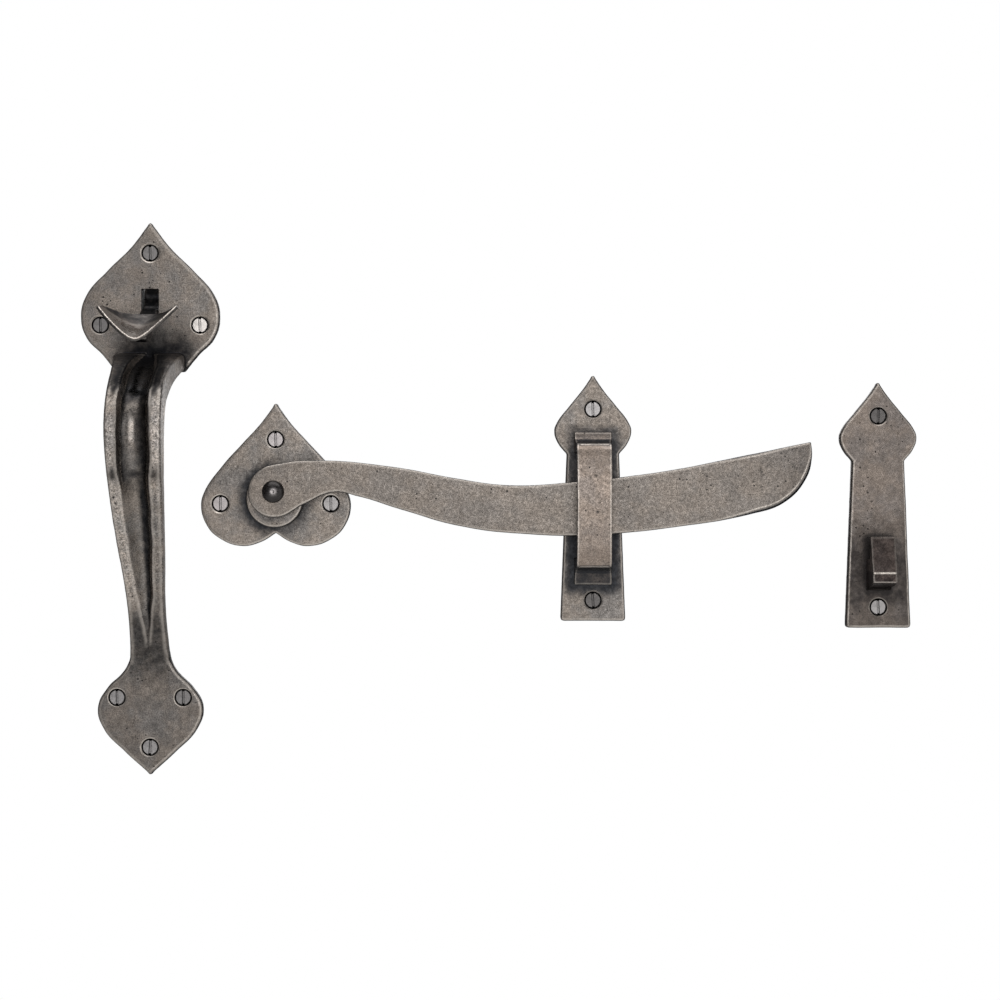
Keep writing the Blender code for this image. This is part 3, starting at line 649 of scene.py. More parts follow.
def aged_pewter(name, shift, light=LIGHT, cool=COOL, dark=DARK, roughness=0.5, pits=0.8, speckle=1.0,
                side_shade=0.85):
    """Patinated metal: brown and blue-grey mottling, fine grain, small dark pits, bright worn arrises painted
    brightest on the front-facing bevels as a highlight, a painted highlight line, painted shade on side
    walls, and dark patina and painted shade in hollows and where the mask says. The masks for wear, the
    painted highlight line, patina and painted shade, polish and painted sheen, and smoothness come with the
    mesh."""
    tree = Tree(name)
    patina_and_shade, smooth = tree.mask("patina_and_shade"), tree.mask("smooth")
    where = tree.node("ShaderNodeTexCoord")
    apart = tree.node("ShaderNodeSeparateXYZ", Vector=where.outputs["Normal"])
    facing = tree.times(apart.outputs["Y"], -1.0)

    def speck(size, detail, rough, move=0.0):
        return tree.noise(size, detail, rough, tuple(s + move for s in shift))

    colour = tree.mix(tree.ramp(speck(12, 4, 0.65), 0.36, 0.64), light, cool)
    tone = tree.ramp(speck(7, 3, 0.6, 0.3), 0.3, 0.7, 0.9, 1.1)
    coarse = tree.ramp(speck(1.2, 3, 0.8), 0.32, 0.68, 1 - 0.16 * speckle, 1 + 0.14 * speckle)
    fine = tree.ramp(speck(0.5, 2, 0.8), 0.34, 0.64, 1 - 0.36 * speckle, 1 + 0.32 * speckle)
    colour = tree.mix(1.0, colour, tree.times(tone, tree.times(coarse, fine)), "MULTIPLY")
    # Polish and painted sheen: the stippled colour is lightened where the mask says, partly hand wear, partly
    # a painted highlight.
    stipple = tree.ramp(speck(0.8, 3, 0.85, 0.6), 0.4, 0.58, -0.35, 1.5)
    polish_and_sheen_tint = tree.plus(tree.times(tree.mask("polish_and_sheen"), stipple), 1.0)
    colour = tree.mix(1.0, colour, polish_and_sheen_tint, "MULTIPLY")

    scale = 1 / (PIT_SPACING * MM)
    cells = tree.node("ShaderNodeTexVoronoi", Vector=where.outputs["Object"], Scale=scale, Randomness=1.0)
    chance = tree.node("ShaderNodeSeparateColor", Color=cells.outputs["Color"]).outputs[0]
    crowd = tree.ramp(speck(12, 2, 0.5, -0.2), 0.42, 0.62, 0.3, 1.0)
    reach = tree.times(tree.ramp(chance, 0.35, 1.0, 0.0, 0.3), tree.times(crowd, pits))
    pit = tree.ramp(tree.math("SUBTRACT", reach, cells.outputs["Distance"]), -0.07, 0.06)
    colour = tree.mix(tree.times(pit, 0.8), colour, dark)

    # Worn arrises are painted brightest where they turn about 15 to 40 degrees from the front, as a highlight
    # on the front bevels; the painted highlight line adds to them, broken up by patchy noise.
    arris = tree.times(tree.ramp(facing, 0.7, 0.8), tree.ramp(facing, 0.99, 0.955))
    patchy = tree.ramp(speck(3, 3, 0.7), 0.25, 0.55, 0.45, 1.0)
    bright = tree.math("MAXIMUM", tree.times(tree.mask("worn"), arris), tree.mask("painted_highlight"))
    wear_and_highlight = tree.times(bright, patchy)
    # Painted shade on side walls that turn away from the front, as strong as the side shade setting.
    side = tree.ramp(facing, 0.76, 0.6, 0.0, side_shade)
    # Patina and painted shade from the mask, broken by noise, darken the colour together with the painted
    # side shade.
    share = tree.plus(patina_and_shade, tree.ramp(speck(3.5, 3, 0.65), 0.2, 0.8, -0.12, 0.12))
    dark_here = tree.math("MAXIMUM", tree.ramp(share, 0.12, 0.95), side)
    colour = tree.mix(wear_and_highlight, tree.mix(dark_here, colour, dark), EDGE)

    rough = tree.ramp(speck(1.4, 3, 0.6), 0.3, 0.7, roughness - 0.08, roughness + 0.1)
    rough = tree.plus(rough, tree.times(wear_and_highlight, -0.12))
    rough = tree.plus(rough, tree.times(smooth, -0.22))
    rough = tree.plus(rough, tree.times(pit, 0.2))

    height = tree.math("SUBTRACT", tree.times(speck(0.8, 3, 0.7), 0.6), pit)
    height = tree.plus(height, tree.times(speck(5, 2, 0.5), 1.3))
    height = tree.times(height, tree.ramp(smooth, 0.0, 1.0, 1.0, 0.25))
    bumped = tree.bump(0.5, 0.13, height)
    return tree.surface(Base_Color=colour, Metallic=1.0, Roughness=rough, Normal=bumped)


def turned_metal(name, colour, roughness, dark=(0.03, 0.028, 0.028), streaks=0.5):
    """Turned metal with fine scratches, dark tarnish and painted shade where the patina mask says, and a
    painted glint where the polish mask says.
    """
    tree = Tree(name)
    scratch = tree.noise(0.5, 4, 0.65, stretch=(0.25, 1, 1))
    tone = tree.ramp(scratch, 0.3, 0.7, 1 - 0.3 * streaks, 1 + 0.25 * streaks)
    blotch = tree.ramp(tree.noise(2.2, 3, 0.6), 0.3, 0.7, 0.85, 1.12)
    made = tree.mix(1.0, colour, tree.times(tone, blotch), "MULTIPLY")
    # A painted glint where the polish mask says.
    made = tree.mix(tree.mask("polish_and_sheen"), made, tuple(min(c * 8, 0.7) for c in colour))
    made = tree.mix(tree.mask("patina_and_shade"), made, dark)
    rough = tree.ramp(scratch, 0.3, 0.7, roughness - 0.06, roughness + 0.1)
    bumped = tree.bump(0.4, 0.05, scratch)
    return tree.surface(Base_Color=made, Metallic=1.0, Roughness=rough, Normal=bumped)


# ---- pieces

def dress(obj, material, node, body="fixed_units"):
    """Gives a piece its material, hides the CAD node it stands for, and hangs it on the empty of the body it
    rides on.
    """
    obj.data.materials.clear()
    obj.data.materials.append(material)
    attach(obj, body)
    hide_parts(node)


def smooth_stations(stations, steps):
    """Catmull-Rom values between the stations, column by column, with both ends held."""
    padded = (stations[0], *stations, stations[-1])
    found = []
    for before, start, end, after in zip(padded, padded[1:], padded[2:], padded[3:]):
        for step in range(steps):
            t = step / steps
            found.append([
                b + ((c - a) * t + (2 * a - 5 * b + 4 * c - d) * t**2 + (3 * b - a - 3 * c + d) * t**3) / 2
                for a, b, c, d in zip(before, start, end, after)
            ])
    return [*found, list(stations[-1])]


def arc(centre_across, centre_out, radius, start, end):
    """Points on a round corner, angles in quarter turns from +across towards +out."""
    angles = [math.pi / 2 * (start + (end - start) * step / ROUND_STEPS) for step in range(ROUND_STEPS + 1)]
    return [(centre_across + radius * math.cos(a), centre_out + radius * math.sin(a)) for a in angles]


def grip_section(width, thickness, flute, wander, rounding, open_left):
    """Points (across, out) round one section: a rounded back, and two rims with the flute between them.
    wander moves the right and left rims across, and open_left makes the flute's left side less round."""
    side, face = width / 2, thickness / 2
    back, rim = min(BACK_ROUND, face * 0.6), min(rounding, face * 0.75, (side - flute / 2) * 0.4)
    right = arc(side - back, back - face, back, -1, 0) + arc(side - rim, face - rim, rim, 0, 1)
    hollow = []
    for step in range(FLUTE_STEPS + 1):
        across, deep = math.cos(math.pi * step / FLUTE_STEPS), math.sin(math.pi * step / FLUTE_STEPS)
        loose = wander[0]
        if across < 0:
            deep += open_left * (1 - abs(across) ** 1.4 - deep)
            loose = wander[1]
        hollow.append((across * flute / 2 + loose * abs(across), face - deep * flute * FLUTE_DEPTH))
    return [*right, *hollow, *((-across, out) for across, out in reversed(right))]


def grip_shell():
    """The fluted bow grip: a loft square to its own curve, whose rims wander a little as cast ones do."""
    stations = smooth_stations(GRIP, GRIP_STEPS)
    rings = []
    for index, (depth, z, width, thickness, flute) in enumerate(stations):
        before, after = stations[max(index - 1, 0)], stations[min(index + 1, len(stations) - 1)]
        run_depth, run_z = after[0] - before[0], after[1] - before[1]
        length = math.hypot(run_depth, run_z)
        out_depth, out_z = -run_z / length, run_depth / length
        loose = min(flute / 12, 1) * 0.85
        wander = [loose * noise.noise(Vector((z / 8, seed, 0))) for seed in (3.7, 8.1)]
        rounding = RIM_ROUND + ROOT_ROUND * max(1 - index / (1.5 * GRIP_STEPS), 0)
        open_left = float(ease(-80, -96, z))
        section = grip_section(width, thickness, flute * FLUTE_SHARE, wander, rounding, open_left)
        rings.append([
            (across * MM, -(depth + out * out_depth) * MM, (z + out * out_z) * MM) for across, out in section
        ])
    return loft("grip", rings)


def flute_at(z):
    """Half the flute's width, and the depth of the grip's middle, at each height."""
    stations = np.array(smooth_stations(GRIP, 4))
    stations = stations[np.argsort(stations[:, 1])]
    half_width = np.interp(z, stations[:, 1], stations[:, 4]) * FLUTE_SHARE / 2
    return half_width, np.interp(z, stations[:, 1], stations[:, 0])


def across_flute(x, z):
    """-1 on the flute's left edge, 1 on its right one."""
    return x / np.maximum(flute_at(z)[0], 0.5)


def flute_share(x, depth, z):
    """1 inside the flute, 0 on the rims."""
    half_width, middle = flute_at(z)
    inside = ease(0.4, -0.6, np.abs(x) - half_width)
    return inside * (depth > middle - 2) * (z < FLUTE_TOP) * (z > FLUTE_BOTTOM) * ease(0.4, 2, half_width)


def rims(x, depth, z):
    """1 on the grip beside the flute, where it is clear of the plates."""
    return (1 - flute_share(x, depth, z)) * (depth > GRIP_CLEAR)


def handle_patina_and_shade(x, depth, z):
    """Dark patina in the flute, with a painted highlight down its middle and, lower down, its left half
    painted lighter than its right as a painted reflection. Dark patina and painted shade where the grip
    leaves the upper plate, and a painted shadow of the thumb pad on the plate. Some on the grip's bend, neck
    and right rim, and behind."""
    across = across_flute(x, z)
    upper = ease(-98, -88, z)
    # The painted highlight down the flute's middle, and lower down its left half painted lighter, as a
    # painted reflection.
    streak = bell(across + 0.16, 0.5) * ease(-56, -63, z) * ease(-104, -78, z)
    streak = streak * (0.6 + 0.4 * ease(-78, -64, z))
    left_half = ease(0.4, -0.1, across) * 0.68
    in_flute = (0.84 - 0.8 * (upper * streak + (1 - upper) * left_half)) * flute_share(x, depth, z)
    on_plate = (depth > 1) * (depth < 6) * (z > -60)
    # A painted shadow of the thumb pad on the upper plate.
    plate = ease(-14, -37, z) * ease(29, 8, np.abs(x - 3)) * on_plate * 0.95
    inner = 0.97 - 0.3 * ease(6, 12, np.abs(x))
    # Dark patina and painted shade where the grip leaves the plate.
    root = ease(-62, -50, z) * (z < -35.5) * (depth > 3) * (np.abs(x) < 16) * inner
    stain = bell(z + 88, 4) * (depth > 30) * 0.72
    neck = ease(-138, -154, z) * (0.38 + 0.28 * ease(-184, -166, z)) * (depth > 1)
    behind = ease(0.3, -0.3, depth) * 0.35
    right_rim = ease(-92, -100, z) * (x > 0) * rims(x, depth, z) * 0.46
    return np.maximum.reduce([in_flute, plate, root, stain, neck, right_rim, behind])


def handle_polish_and_sheen(x, depth, z):
    """The rims of the grip painted brighter where it stands out furthest, and further down: partly brightened
    by hands, partly painted light.
    """
    upper = (depth > 34) * ease(-49, -60, z) * ease(-92, -80, z) * ease(7, 9, np.abs(x))
    # Lower down, the left rim is painted brighter than the right, as painted light.
    lower = ease(-84, -94, z) * ease(-150, -130, z) * np.where(x < 0, 0.9, 0.7)
    return rims(x, depth, z) * np.maximum(upper, lower)


def flute_highlight(x, depth, z):
    """A painted highlight at the top of the flute, a little left of its middle."""
    return 0.5 * bell(across_flute(x, z) + 0.16, 0.33) * bell(z + 61.5, 2.4) * flute_share(x, depth, z)


def make_handle():
    inside = SLOT_HALF + GAP
    outside = inside + LUG_WIDTH
    shells = [plate_shell("upper", UPPER_PLATE, 0, 0), plate_shell("lower", LOWER_PLATE, 0, 0), grip_shell()]
    for side in (-1, 1):
        left, right = sorted((side * inside, side * outside))
        shells.append(block("lug", (left, -LUG_DEPTH, LUG_BOTTOM), (right, LUG_ROOT, LUG_TOP), 0.8))
    shells.append(block("web", (-outside + 1, -WEB_DEPTH, WEB_BOTTOM), (outside - 1, WEB_ROOT, WEB_TOP), 0.4))
    lip = block("lip", (-inside, -LIP_DEPTH, WEB_BOTTOM), (inside, LIP_LENGTH - LIP_DEPTH, LIP_TOP), 0.4)
    handle = cast("handle_casting", [*shells, lip], 0.52)
    forge(handle, 0.16, 1.0, HANDLE_DENTS)
    slot = block("slot", (-SLOT_HALF, -OVERCUT, SLOT_BOTTOM), (SLOT_HALF, PLATE + OVERCUT, SLOT_TOP), 0.6)
    pin_bore = bore(PIN_RADIUS + GAP, outside + OVERCUT, -outside - OVERCUT, pin_place(), PIN_SIDES)
    rim, screws = (1.1, 0.27, 0.75, 0.72), screws_of("handle", 6)
    handle = finish_cast(handle, handle_patina_and_shade, rim, [slot, pin_bore], screws, HANDLE_DENTS, calm=flute_share)
    x, depth, z = seen(handle)
    on_grip = depth > PLATE + 1
    at_root = on_grip & (np.abs(x) < 7) & (z > ROOT_BOTTOM)
    on_side = on_grip & (np.abs(points_of(handle.data, "normal")[:, 0]) > 0.75)
    # Less painted highlight on the grip's edges and none at its root, more on the right rim's outer edge low
    # down, and the painted highlight at the top of the flute; less patina and painted shade on the grip's
    # sides.
    scale_mask(handle, "painted_highlight", np.where(on_grip, 0.2 + 0.5 * (x > 5) * (z < -95), 1) * ~at_root)
    set_mask(handle, "painted_highlight", np.maximum(mask_of(handle, "painted_highlight"), flute_highlight(x, depth, z)))
    scale_mask(handle, "worn", np.where(at_root, 0.15, 1))
    scale_mask(handle, "patina_and_shade", np.where(on_side, 0.2, 1))
    set_mask(handle, "polish_and_sheen", handle_polish_and_sheen(x, depth, z))
    set_mask(handle, "smooth", flute_share(x, depth, z))
    pewter = aged_pewter("pewter_handle", (0.1, 0.4, 0.2), dark=BLACK, side_shade=0.2)
    dress(handle, pewter, "pull_handle")


def pin_place():
    return place(0, -PIN_BEHIND, PIN_HEIGHT) @ Matrix.Rotation(math.pi / 2, 4, "Y")


def make_pin(steel):
    half, radius = SLOT_HALF + LUG_WIDTH, PIN_RADIUS
    top = [(0, half), (radius * 0.5, half - 0.05), (radius * 0.8, half - 0.2), (radius, half - 0.6)]
    profile = (*top, *((r, -h) for r, h in reversed(top)))
    pin = turned_solid("pivot_pin", profile, pin_place(), PIN_SIDES)
    set_mask(pin, "patina_and_shade", np.full(len(pin.data.vertices), 0.4))
    shade(pin)
    dress(pin, steel, "thumb_pivot_pin")


def pad_rise(u, v):
    vee = (np.hypot(u, PAD_VEE_ROUND) - PAD_VEE_ROUND) / (math.hypot(1, PAD_VEE_ROUND) - PAD_VEE_ROUND)
    curl = PAD_REAR_LIFT * (1 - u * u) * np.minimum(v, 0) ** 2
    return PAD_RISE * (np.abs(u) ** PAD_REAR_CURVE * (1 - v) + vee * (1 + v)) / 2 + curl


def pad_span(u):
    """The depths of the pad's front and rear edges at a share of its half width."""
    full = np.maximum(1 - u * u, 0)
    front = PAD_TIP_DEPTH + PAD_TIP + (PAD_FRONT_DEPTH - PAD_TIP_DEPTH) * full
    return front, PAD_TIP_DEPTH - PAD_TIP - (PAD_TIP_DEPTH - PAD_REAR_DEPTH) * full**PAD_REAR_FULLNESS


def pad_height(u, v, depth):
    return PAD_MIDDLE_HEIGHT + PAD_SLOPE * (depth - PAD_TIP_DEPTH) + pad_rise(u, v)


def pad_shell():
    shape = bmesh.new()
    bmesh.ops.create_grid(shape, x_segments=PAD_COLUMNS, y_segments=PAD_ROWS, size=1)
    for vertex in shape.verts:
        u, v = vertex.co.x, vertex.co.y
        front, rear = pad_span(u)
        depth = (front + rear) / 2 + v * (front - rear) / 2
        vertex.co = (u * PAD_HALF_WIDTH * MM, -depth * MM, pad_height(u, v, depth) * MM)
    bmesh.ops.recalc_face_normals(shape, faces=shape.faces)
    pad = object_from(shape, "pad")
    thick = pad.modifiers.new("Thickness", "SOLIDIFY")
    thick.thickness = PAD_THICKNESS * MM
    thick.offset = 0
    return finished_mesh(pad, "pad")


def on_pad(x, depth, z):
    """Where a point lies on the pad: its shares of the half width and depth, and how many millimetres it is
    in from the front edge and above the middle of the thickness."""
    u = np.clip(x / PAD_HALF_WIDTH, -1, 1)
    front, rear = pad_span(u)
    v = np.clip((2 * depth - front - rear) / (front - rear), -1, 1)
    return u, v, front - depth, (z - pad_height(u, v, depth)) * 0.85


def thumb_shade_and_patina(x, depth, z):
    """Painted shade under the pad, on its front face below the painted arris highlight, and at its rear; some
    patina on the lever's tail, and painted shade on the lever in and in front of the slot.
    """
    _, v, inward, above = on_pad(x, depth, z)
    lever = ease(18, 14, depth) * (0.3 + 0.6 * ease(-12, -7, depth))
    rear = ease(0.0, -0.5, v)
    face = ease(0.7, 0.3, inward) * ease(0.45, 0.15, above)
    under = ease(-0.2, -0.6, above)
    return np.maximum(lever, np.maximum.reduce([rear, face, under]) * (depth > PAD_START) * 0.8)


def thumb_arris_highlight(x, depth, z):
    """A painted highlight on the front edge's upper arris."""
    _, _, inward, above = on_pad(x, depth, z)
    return ease(1.0, 0.5, inward) * ease(0.15, 0.5, above) * (depth > 30) * 0.95


def make_thumb_piece():
    lever = outline_solid("lever", LEVER, LEVER_WIDTH, FACING_SIDE)
    thumb = cast("thumb_lever", [lever, pad_shell()], 0.3, 2)
    pin_bore = bore(PIN_RADIUS + GAP, LEVER_WIDTH, -LEVER_WIDTH, pin_place(), PIN_SIDES)
    thumb = finish_cast(thumb, thumb_shade_and_patina, (0, 0.3, 0, 0), [pin_bore], wear=0.15, light=thumb_arris_highlight)
    x, depth, z = seen(thumb)
    u, v, _, above = on_pad(x, depth, z)
    # The dish is painted lighter a little left of its middle, and smoother: partly worn by thumbs, partly a
    # painted highlight.
    dish = bell(u + 0.2, 0.55) * bell(v - 0.25, 0.4) * (above > 0) * (depth > PAD_START)
    set_mask(thumb, "polish_and_sheen", dish * 0.3)
    set_mask(thumb, "smooth", dish)
    tones = (0.55, 0.485, 0.44), (0.50, 0.455, 0.42)
    pewter = aged_pewter("pewter_thumb", (0.5, 0.1, 0.3), *tones, BLACK, 0.4, 0.25, 0.4, 0.5)
    dress(thumb, pewter, "thumb_piece", body="thumb_piece")


def make_pivot_plate():
    x, _ = middle_of("pivot_plate")
    _, pivot_z = middle_of("pivot_rivet")
    boss_z = pivot_z - BOSS_BELOW
    profile = (
        (0, BOSS_DEPTH), (BOSS_RADIUS - 0.9, BOSS_DEPTH), (BOSS_RADIUS - 0.3, BOSS_DEPTH - 0.25),
        (BOSS_RADIUS, BOSS_DEPTH - 0.9), (BOSS_RADIUS, PLATE / 2), (0, PLATE / 2),
    )
    boss = turned_solid("boss", profile, front_place(x, 0, boss_z), 96)
    plate = cast("pivot_plate_casting", [plate_shell("base", PIVOT_PLATE, x, 0), boss], 0.34)
    forge(plate, 0.12, 2.0, dents_from(x, 0, PIVOT_DENTS))
    hole, flare = RIVET_SHANK + GAP, RIVET_SHANK + RIVET_FLARE + GAP
    profile = (
        (0, BOSS_DEPTH + OVERCUT), (hole, BOSS_DEPTH + OVERCUT), (hole, RIVET_FLARE + GAP),
        (flare, GAP), (flare, -OVERCUT), (0, -OVERCUT),
    )
    rivet_bore = turned_solid("bore", profile, front_place(x, 0, pivot_z), BORE_SIDES)

    # Patina and painted shade round the boss, darker on its left side as painted shade; painted shade on the
    # boss's face under the bar.
    def patina_and_shade(across, depth, up):
        away = np.hypot(across - x, up - boss_z) - BOSS_RADIUS
        side = 0.7 + 0.2 * ease(6, -8, across - x)
        ring = bell(np.maximum(away, 0), 5.2) * (depth < BOSS_DEPTH - 1.2) * side
        boss_face = ease(-1.3, -2.2, away) * (depth > BOSS_DEPTH - 0.6) * 0.4
        return np.maximum(ring * (away > -1) * (depth > 1), boss_face)

    rim = (0.62, 0.27, 0.95, 0.75)
    plate = finish_cast(plate, patina_and_shade, rim, [rivet_bore], screws_of("pivot_plate", 3), seats=0.95)
    pewter = aged_pewter("pewter_pivot", (0.3, 0.7, 0.9), tuple(c * 1.1 for c in LIGHT), pits=0.5)
    dress(plate, pewter, "pivot_plate")


def tip_bevel(across, up):
    """The width of the bevel ground round the lower side of the bar's tip, at a place from the pivot."""
    return 1.25 * ease(190, 214, across) * ease(20, 8, up)


def grind_tip(bar, x, z):
    away = from_outer_edge(bar.data)
    points = points_of(bar.data)
    ground = 0.8 * np.maximum(tip_bevel(points[:, 0] / MM - x, points[:, 2] / MM - z) - away, 0)
    points[:, 1] += ground * (away > 0) * MM
    move_points(bar.data, points)


def make_bar():
    x, z = middle_of("pivot_rivet")
    middle = front_place(x, (BAR_FRONT + BAR_BACK) / 2, z)
    shell = outline_solid("bar", BAR_OUTLINE, BAR_FRONT - BAR_BACK, middle)
    bar = cast("latch_bar_forging", [round_front(shell, BAR_FRONT, 0.9)], 0.38)
    dents = dents_from(x, z, BAR_DENTS)
    grind_tip(bar, x, z)
    forge(bar, 0.12, 3.0, dents)
    eye = bore(RIVET_SHANK + GAP, BAR_FRONT + OVERCUT, BAR_BACK - OVERCUT, front_place(x, 0, z), BORE_SIDES)

    # Painted shade along the bar's sides towards its back, and darker towards its tip.
    def patina_and_shade(across, depth, up):
        back = ease(BAR_BACK + 1.6, BAR_BACK + 0.4, depth) * 0.5
        return np.maximum(back, ease(196, 230, across - x) * 0.42)

    bar = finish_cast(
        bar, patina_and_shade, (0.6, 0.27, 0.95, 0.9), [eye], dents=dents,
        rim_at=lambda across, depth, up: tip_bevel(across - x, up - z),
    )
    tones = (0.285, 0.247, 0.215), (0.258, 0.231, 0.209)
    pewter = aged_pewter("pewter_bar", (0.7, 0.2, 0.5), *tones, speckle=1.15)
    dress(bar, pewter, "latch_bar", body="latch_bar")


def make_rivet():
    x, z = middle_of("pivot_rivet")
    angles = [math.pi / 2 * step / DOME_STEPS for step in range(2, DOME_STEPS + 1)]
    dome = [(RIVET_HEAD_RADIUS * math.sin(a), BAR_FRONT + GAP + RIVET_RISE * math.cos(a)) for a in angles]
    top = dome[0][1]
    profile = (
        (0, top - 0.12), (0.45, top - 0.12), (0.8, top + 0.02), *dome, (RIVET_SHANK, BAR_FRONT + GAP),
        (RIVET_SHANK, GAP + RIVET_FLARE), (RIVET_SHANK + RIVET_FLARE, GAP), (0, GAP),
    )
    rivet = turned_solid("domed_rivet", profile, front_place(x, 0, z))
    across, depth, up = seen(rivet)
    set_mask(rivet, "patina_and_shade", np.zeros(len(depth)))
    # A painted glint on the middle of the dome.
    set_mask(rivet, "polish_and_sheen", bell(np.hypot(across - x, up - z), 1.4) * (depth > BAR_FRONT))
    shade(rivet, 40)
    black = turned_metal("blackened_steel", (0.055, 0.051, 0.05), 0.3, (0.01, 0.01, 0.01), 0.4)
    dress(rivet, black, "pivot_rivet")


def strap_plate(name, x, top, mortises, patina_and_shade, seed, material):
    """The keeper's or the catch's plate, whose tip is at x and top."""
    plate = cast(f"{name}_plate_casting", [plate_shell("base", STRAP_PLATE, x, top)], 0.32)
    forge(plate, 0.12, seed, dents_from(x, top, STRAP_DENTS))
    cutters = [
        tenon(x, top + z, width, height, -OVERCUT, PLATE + OVERCUT, GAP) for z, width, height in mortises
    ]
    plate = finish_cast(plate, patina_and_shade, (0.72, 0.27, 0.85, 0.75), cutters, screws_of(name, 2), seats=0.3)
    dress(plate, material, f"{name}_plate")


def beside_block(across, up, half_width, top, bottom, reach):
    """Patina and painted shade round an upright block, 1 at its foot and fading over reach. across is the
    distance from its middle."""
    beyond_end = np.maximum(np.maximum(up - top, bottom - up), 0)
    return bell(np.hypot(np.maximum(across - half_width, 0), beyond_end), reach)


def staple_limb(foot, half):
    """Upper half of the staple's side outline, about its middle: inside corner, curved foot, bridge."""
    back, inner = PLATE + GAP, STAPLE_FRONT - STAPLE_STRAP
    sag_depth, sag_height = FOOT_SAG
    return (
        (inner, half - STAPLE_STRAP - STAPLE_CORNER / 2), (inner - STAPLE_CORNER / 2, half - STAPLE_STRAP),
        (back, half - STAPLE_STRAP, CORNER), (back, half + foot, CORNER),
        (back + FOOT_EDGE, half + foot, CORNER),
        (back + FOOT_DEPTH * sag_depth, half + foot * sag_height), (back + FOOT_DEPTH, half),
        (STAPLE_FRONT - STAPLE_CORNER, half), (STAPLE_FRONT, half - STAPLE_CORNER),
    )


def make_keeper():
    x, _ = middle_of("keeper_staple")
    middle, half = (STAPLE_TOP + STAPLE_BOTTOM) / 2, (STAPLE_TOP - STAPLE_BOTTOM) / 2
    lower = tuple((depth, -up, *kind) for depth, up, *kind in reversed(staple_limb(STAPLE_LOWER_FOOT, half)))
    outline = staple_limb(STAPLE_UPPER_FOOT, half) + lower
    strap = outline_solid("strap", outline, FOOT_WIDTH, place(x, 0, KEEPER_TOP + middle) @ FACING_SIDE)
    for vertex in strap.data.vertices:
        along = min(max((-vertex.co.y / MM - PLATE) / FOOT_DEPTH, 0), 1)
        vertex.co.x = x * MM + (vertex.co.x - x * MM) * (1 + along * (STAPLE_WIDTH / FOOT_WIDTH - 1))
    heights = (STAPLE_TOP - STAPLE_STRAP / 2, STAPLE_BOTTOM + STAPLE_STRAP / 2)
    ends = [
        tenon(x, KEEPER_TOP + z, TENON_WIDTH, TENON_HEIGHT, GAP, PLATE + STAPLE_STRAP, rounding=0.3)
        for z in heights
    ]
    staple = cast("staple_forging", [strap, *ends], 0.27)
    top, bottom = KEEPER_TOP + STAPLE_TOP, KEEPER_TOP + STAPLE_BOTTOM
    dents = dents_from(x, KEEPER_TOP, STAPLE_DENTS)
    forge(staple, 0.1, 4.0, dents)

    # Painted shade on the staple's legs, and its feet darker, the lower one most.
    def staple_painted_shade(across, depth, up):
        legs = ease(STAPLE_FRONT - 1.6, STAPLE_FRONT - 2.4, depth) * ease(6.4, 7.6, depth) * 0.9
        feet = ease(8, 7, depth) * np.maximum((up > top - 10) * 0.5, (up < bottom + 10) * 0.78)
        return np.maximum(legs, feet)

    staple = finish_cast(staple, staple_painted_shade, (0.5, 0.25, 0.8, 0.6), dents=dents)
    # Less painted highlight on the feet.
    scale_mask(staple, "painted_highlight", np.where(seen(staple)[1] < 8, 0.3, 1))
    tones = (0.32, 0.262, 0.22), (0.282, 0.24, 0.212)
    warm = aged_pewter("pewter_staple", (0.2, 0.2, 0.8), *tones, roughness=0.46, side_shade=0.7)
    dress(staple, warm, "keeper_staple")

    # Patina and painted shade round the staple's feet, reaching further and darker lower down.
    def plate_patina_and_shade(across, depth, up):
        lower_down = ease(top - 18, top - 32, up)
        reach = 4.8 + 1.2 * lower_down
        ends = (top + STAPLE_UPPER_FOOT - 1, bottom - STAPLE_LOWER_FOOT)
        near = beside_block(np.abs(across - x), up, FOOT_WIDTH / 2, *ends, reach)
        return (0.78 + 0.17 * lower_down) * near * (depth > 1)

    pewter = aged_pewter("pewter_keeper", (0.9, 0.5, 0.1), pits=0.6)
    mortises = [(z, TENON_WIDTH, TENON_HEIGHT) for z in heights]
    strap_plate("keeper", x, KEEPER_TOP, mortises, plate_patina_and_shade, 5.0, pewter)


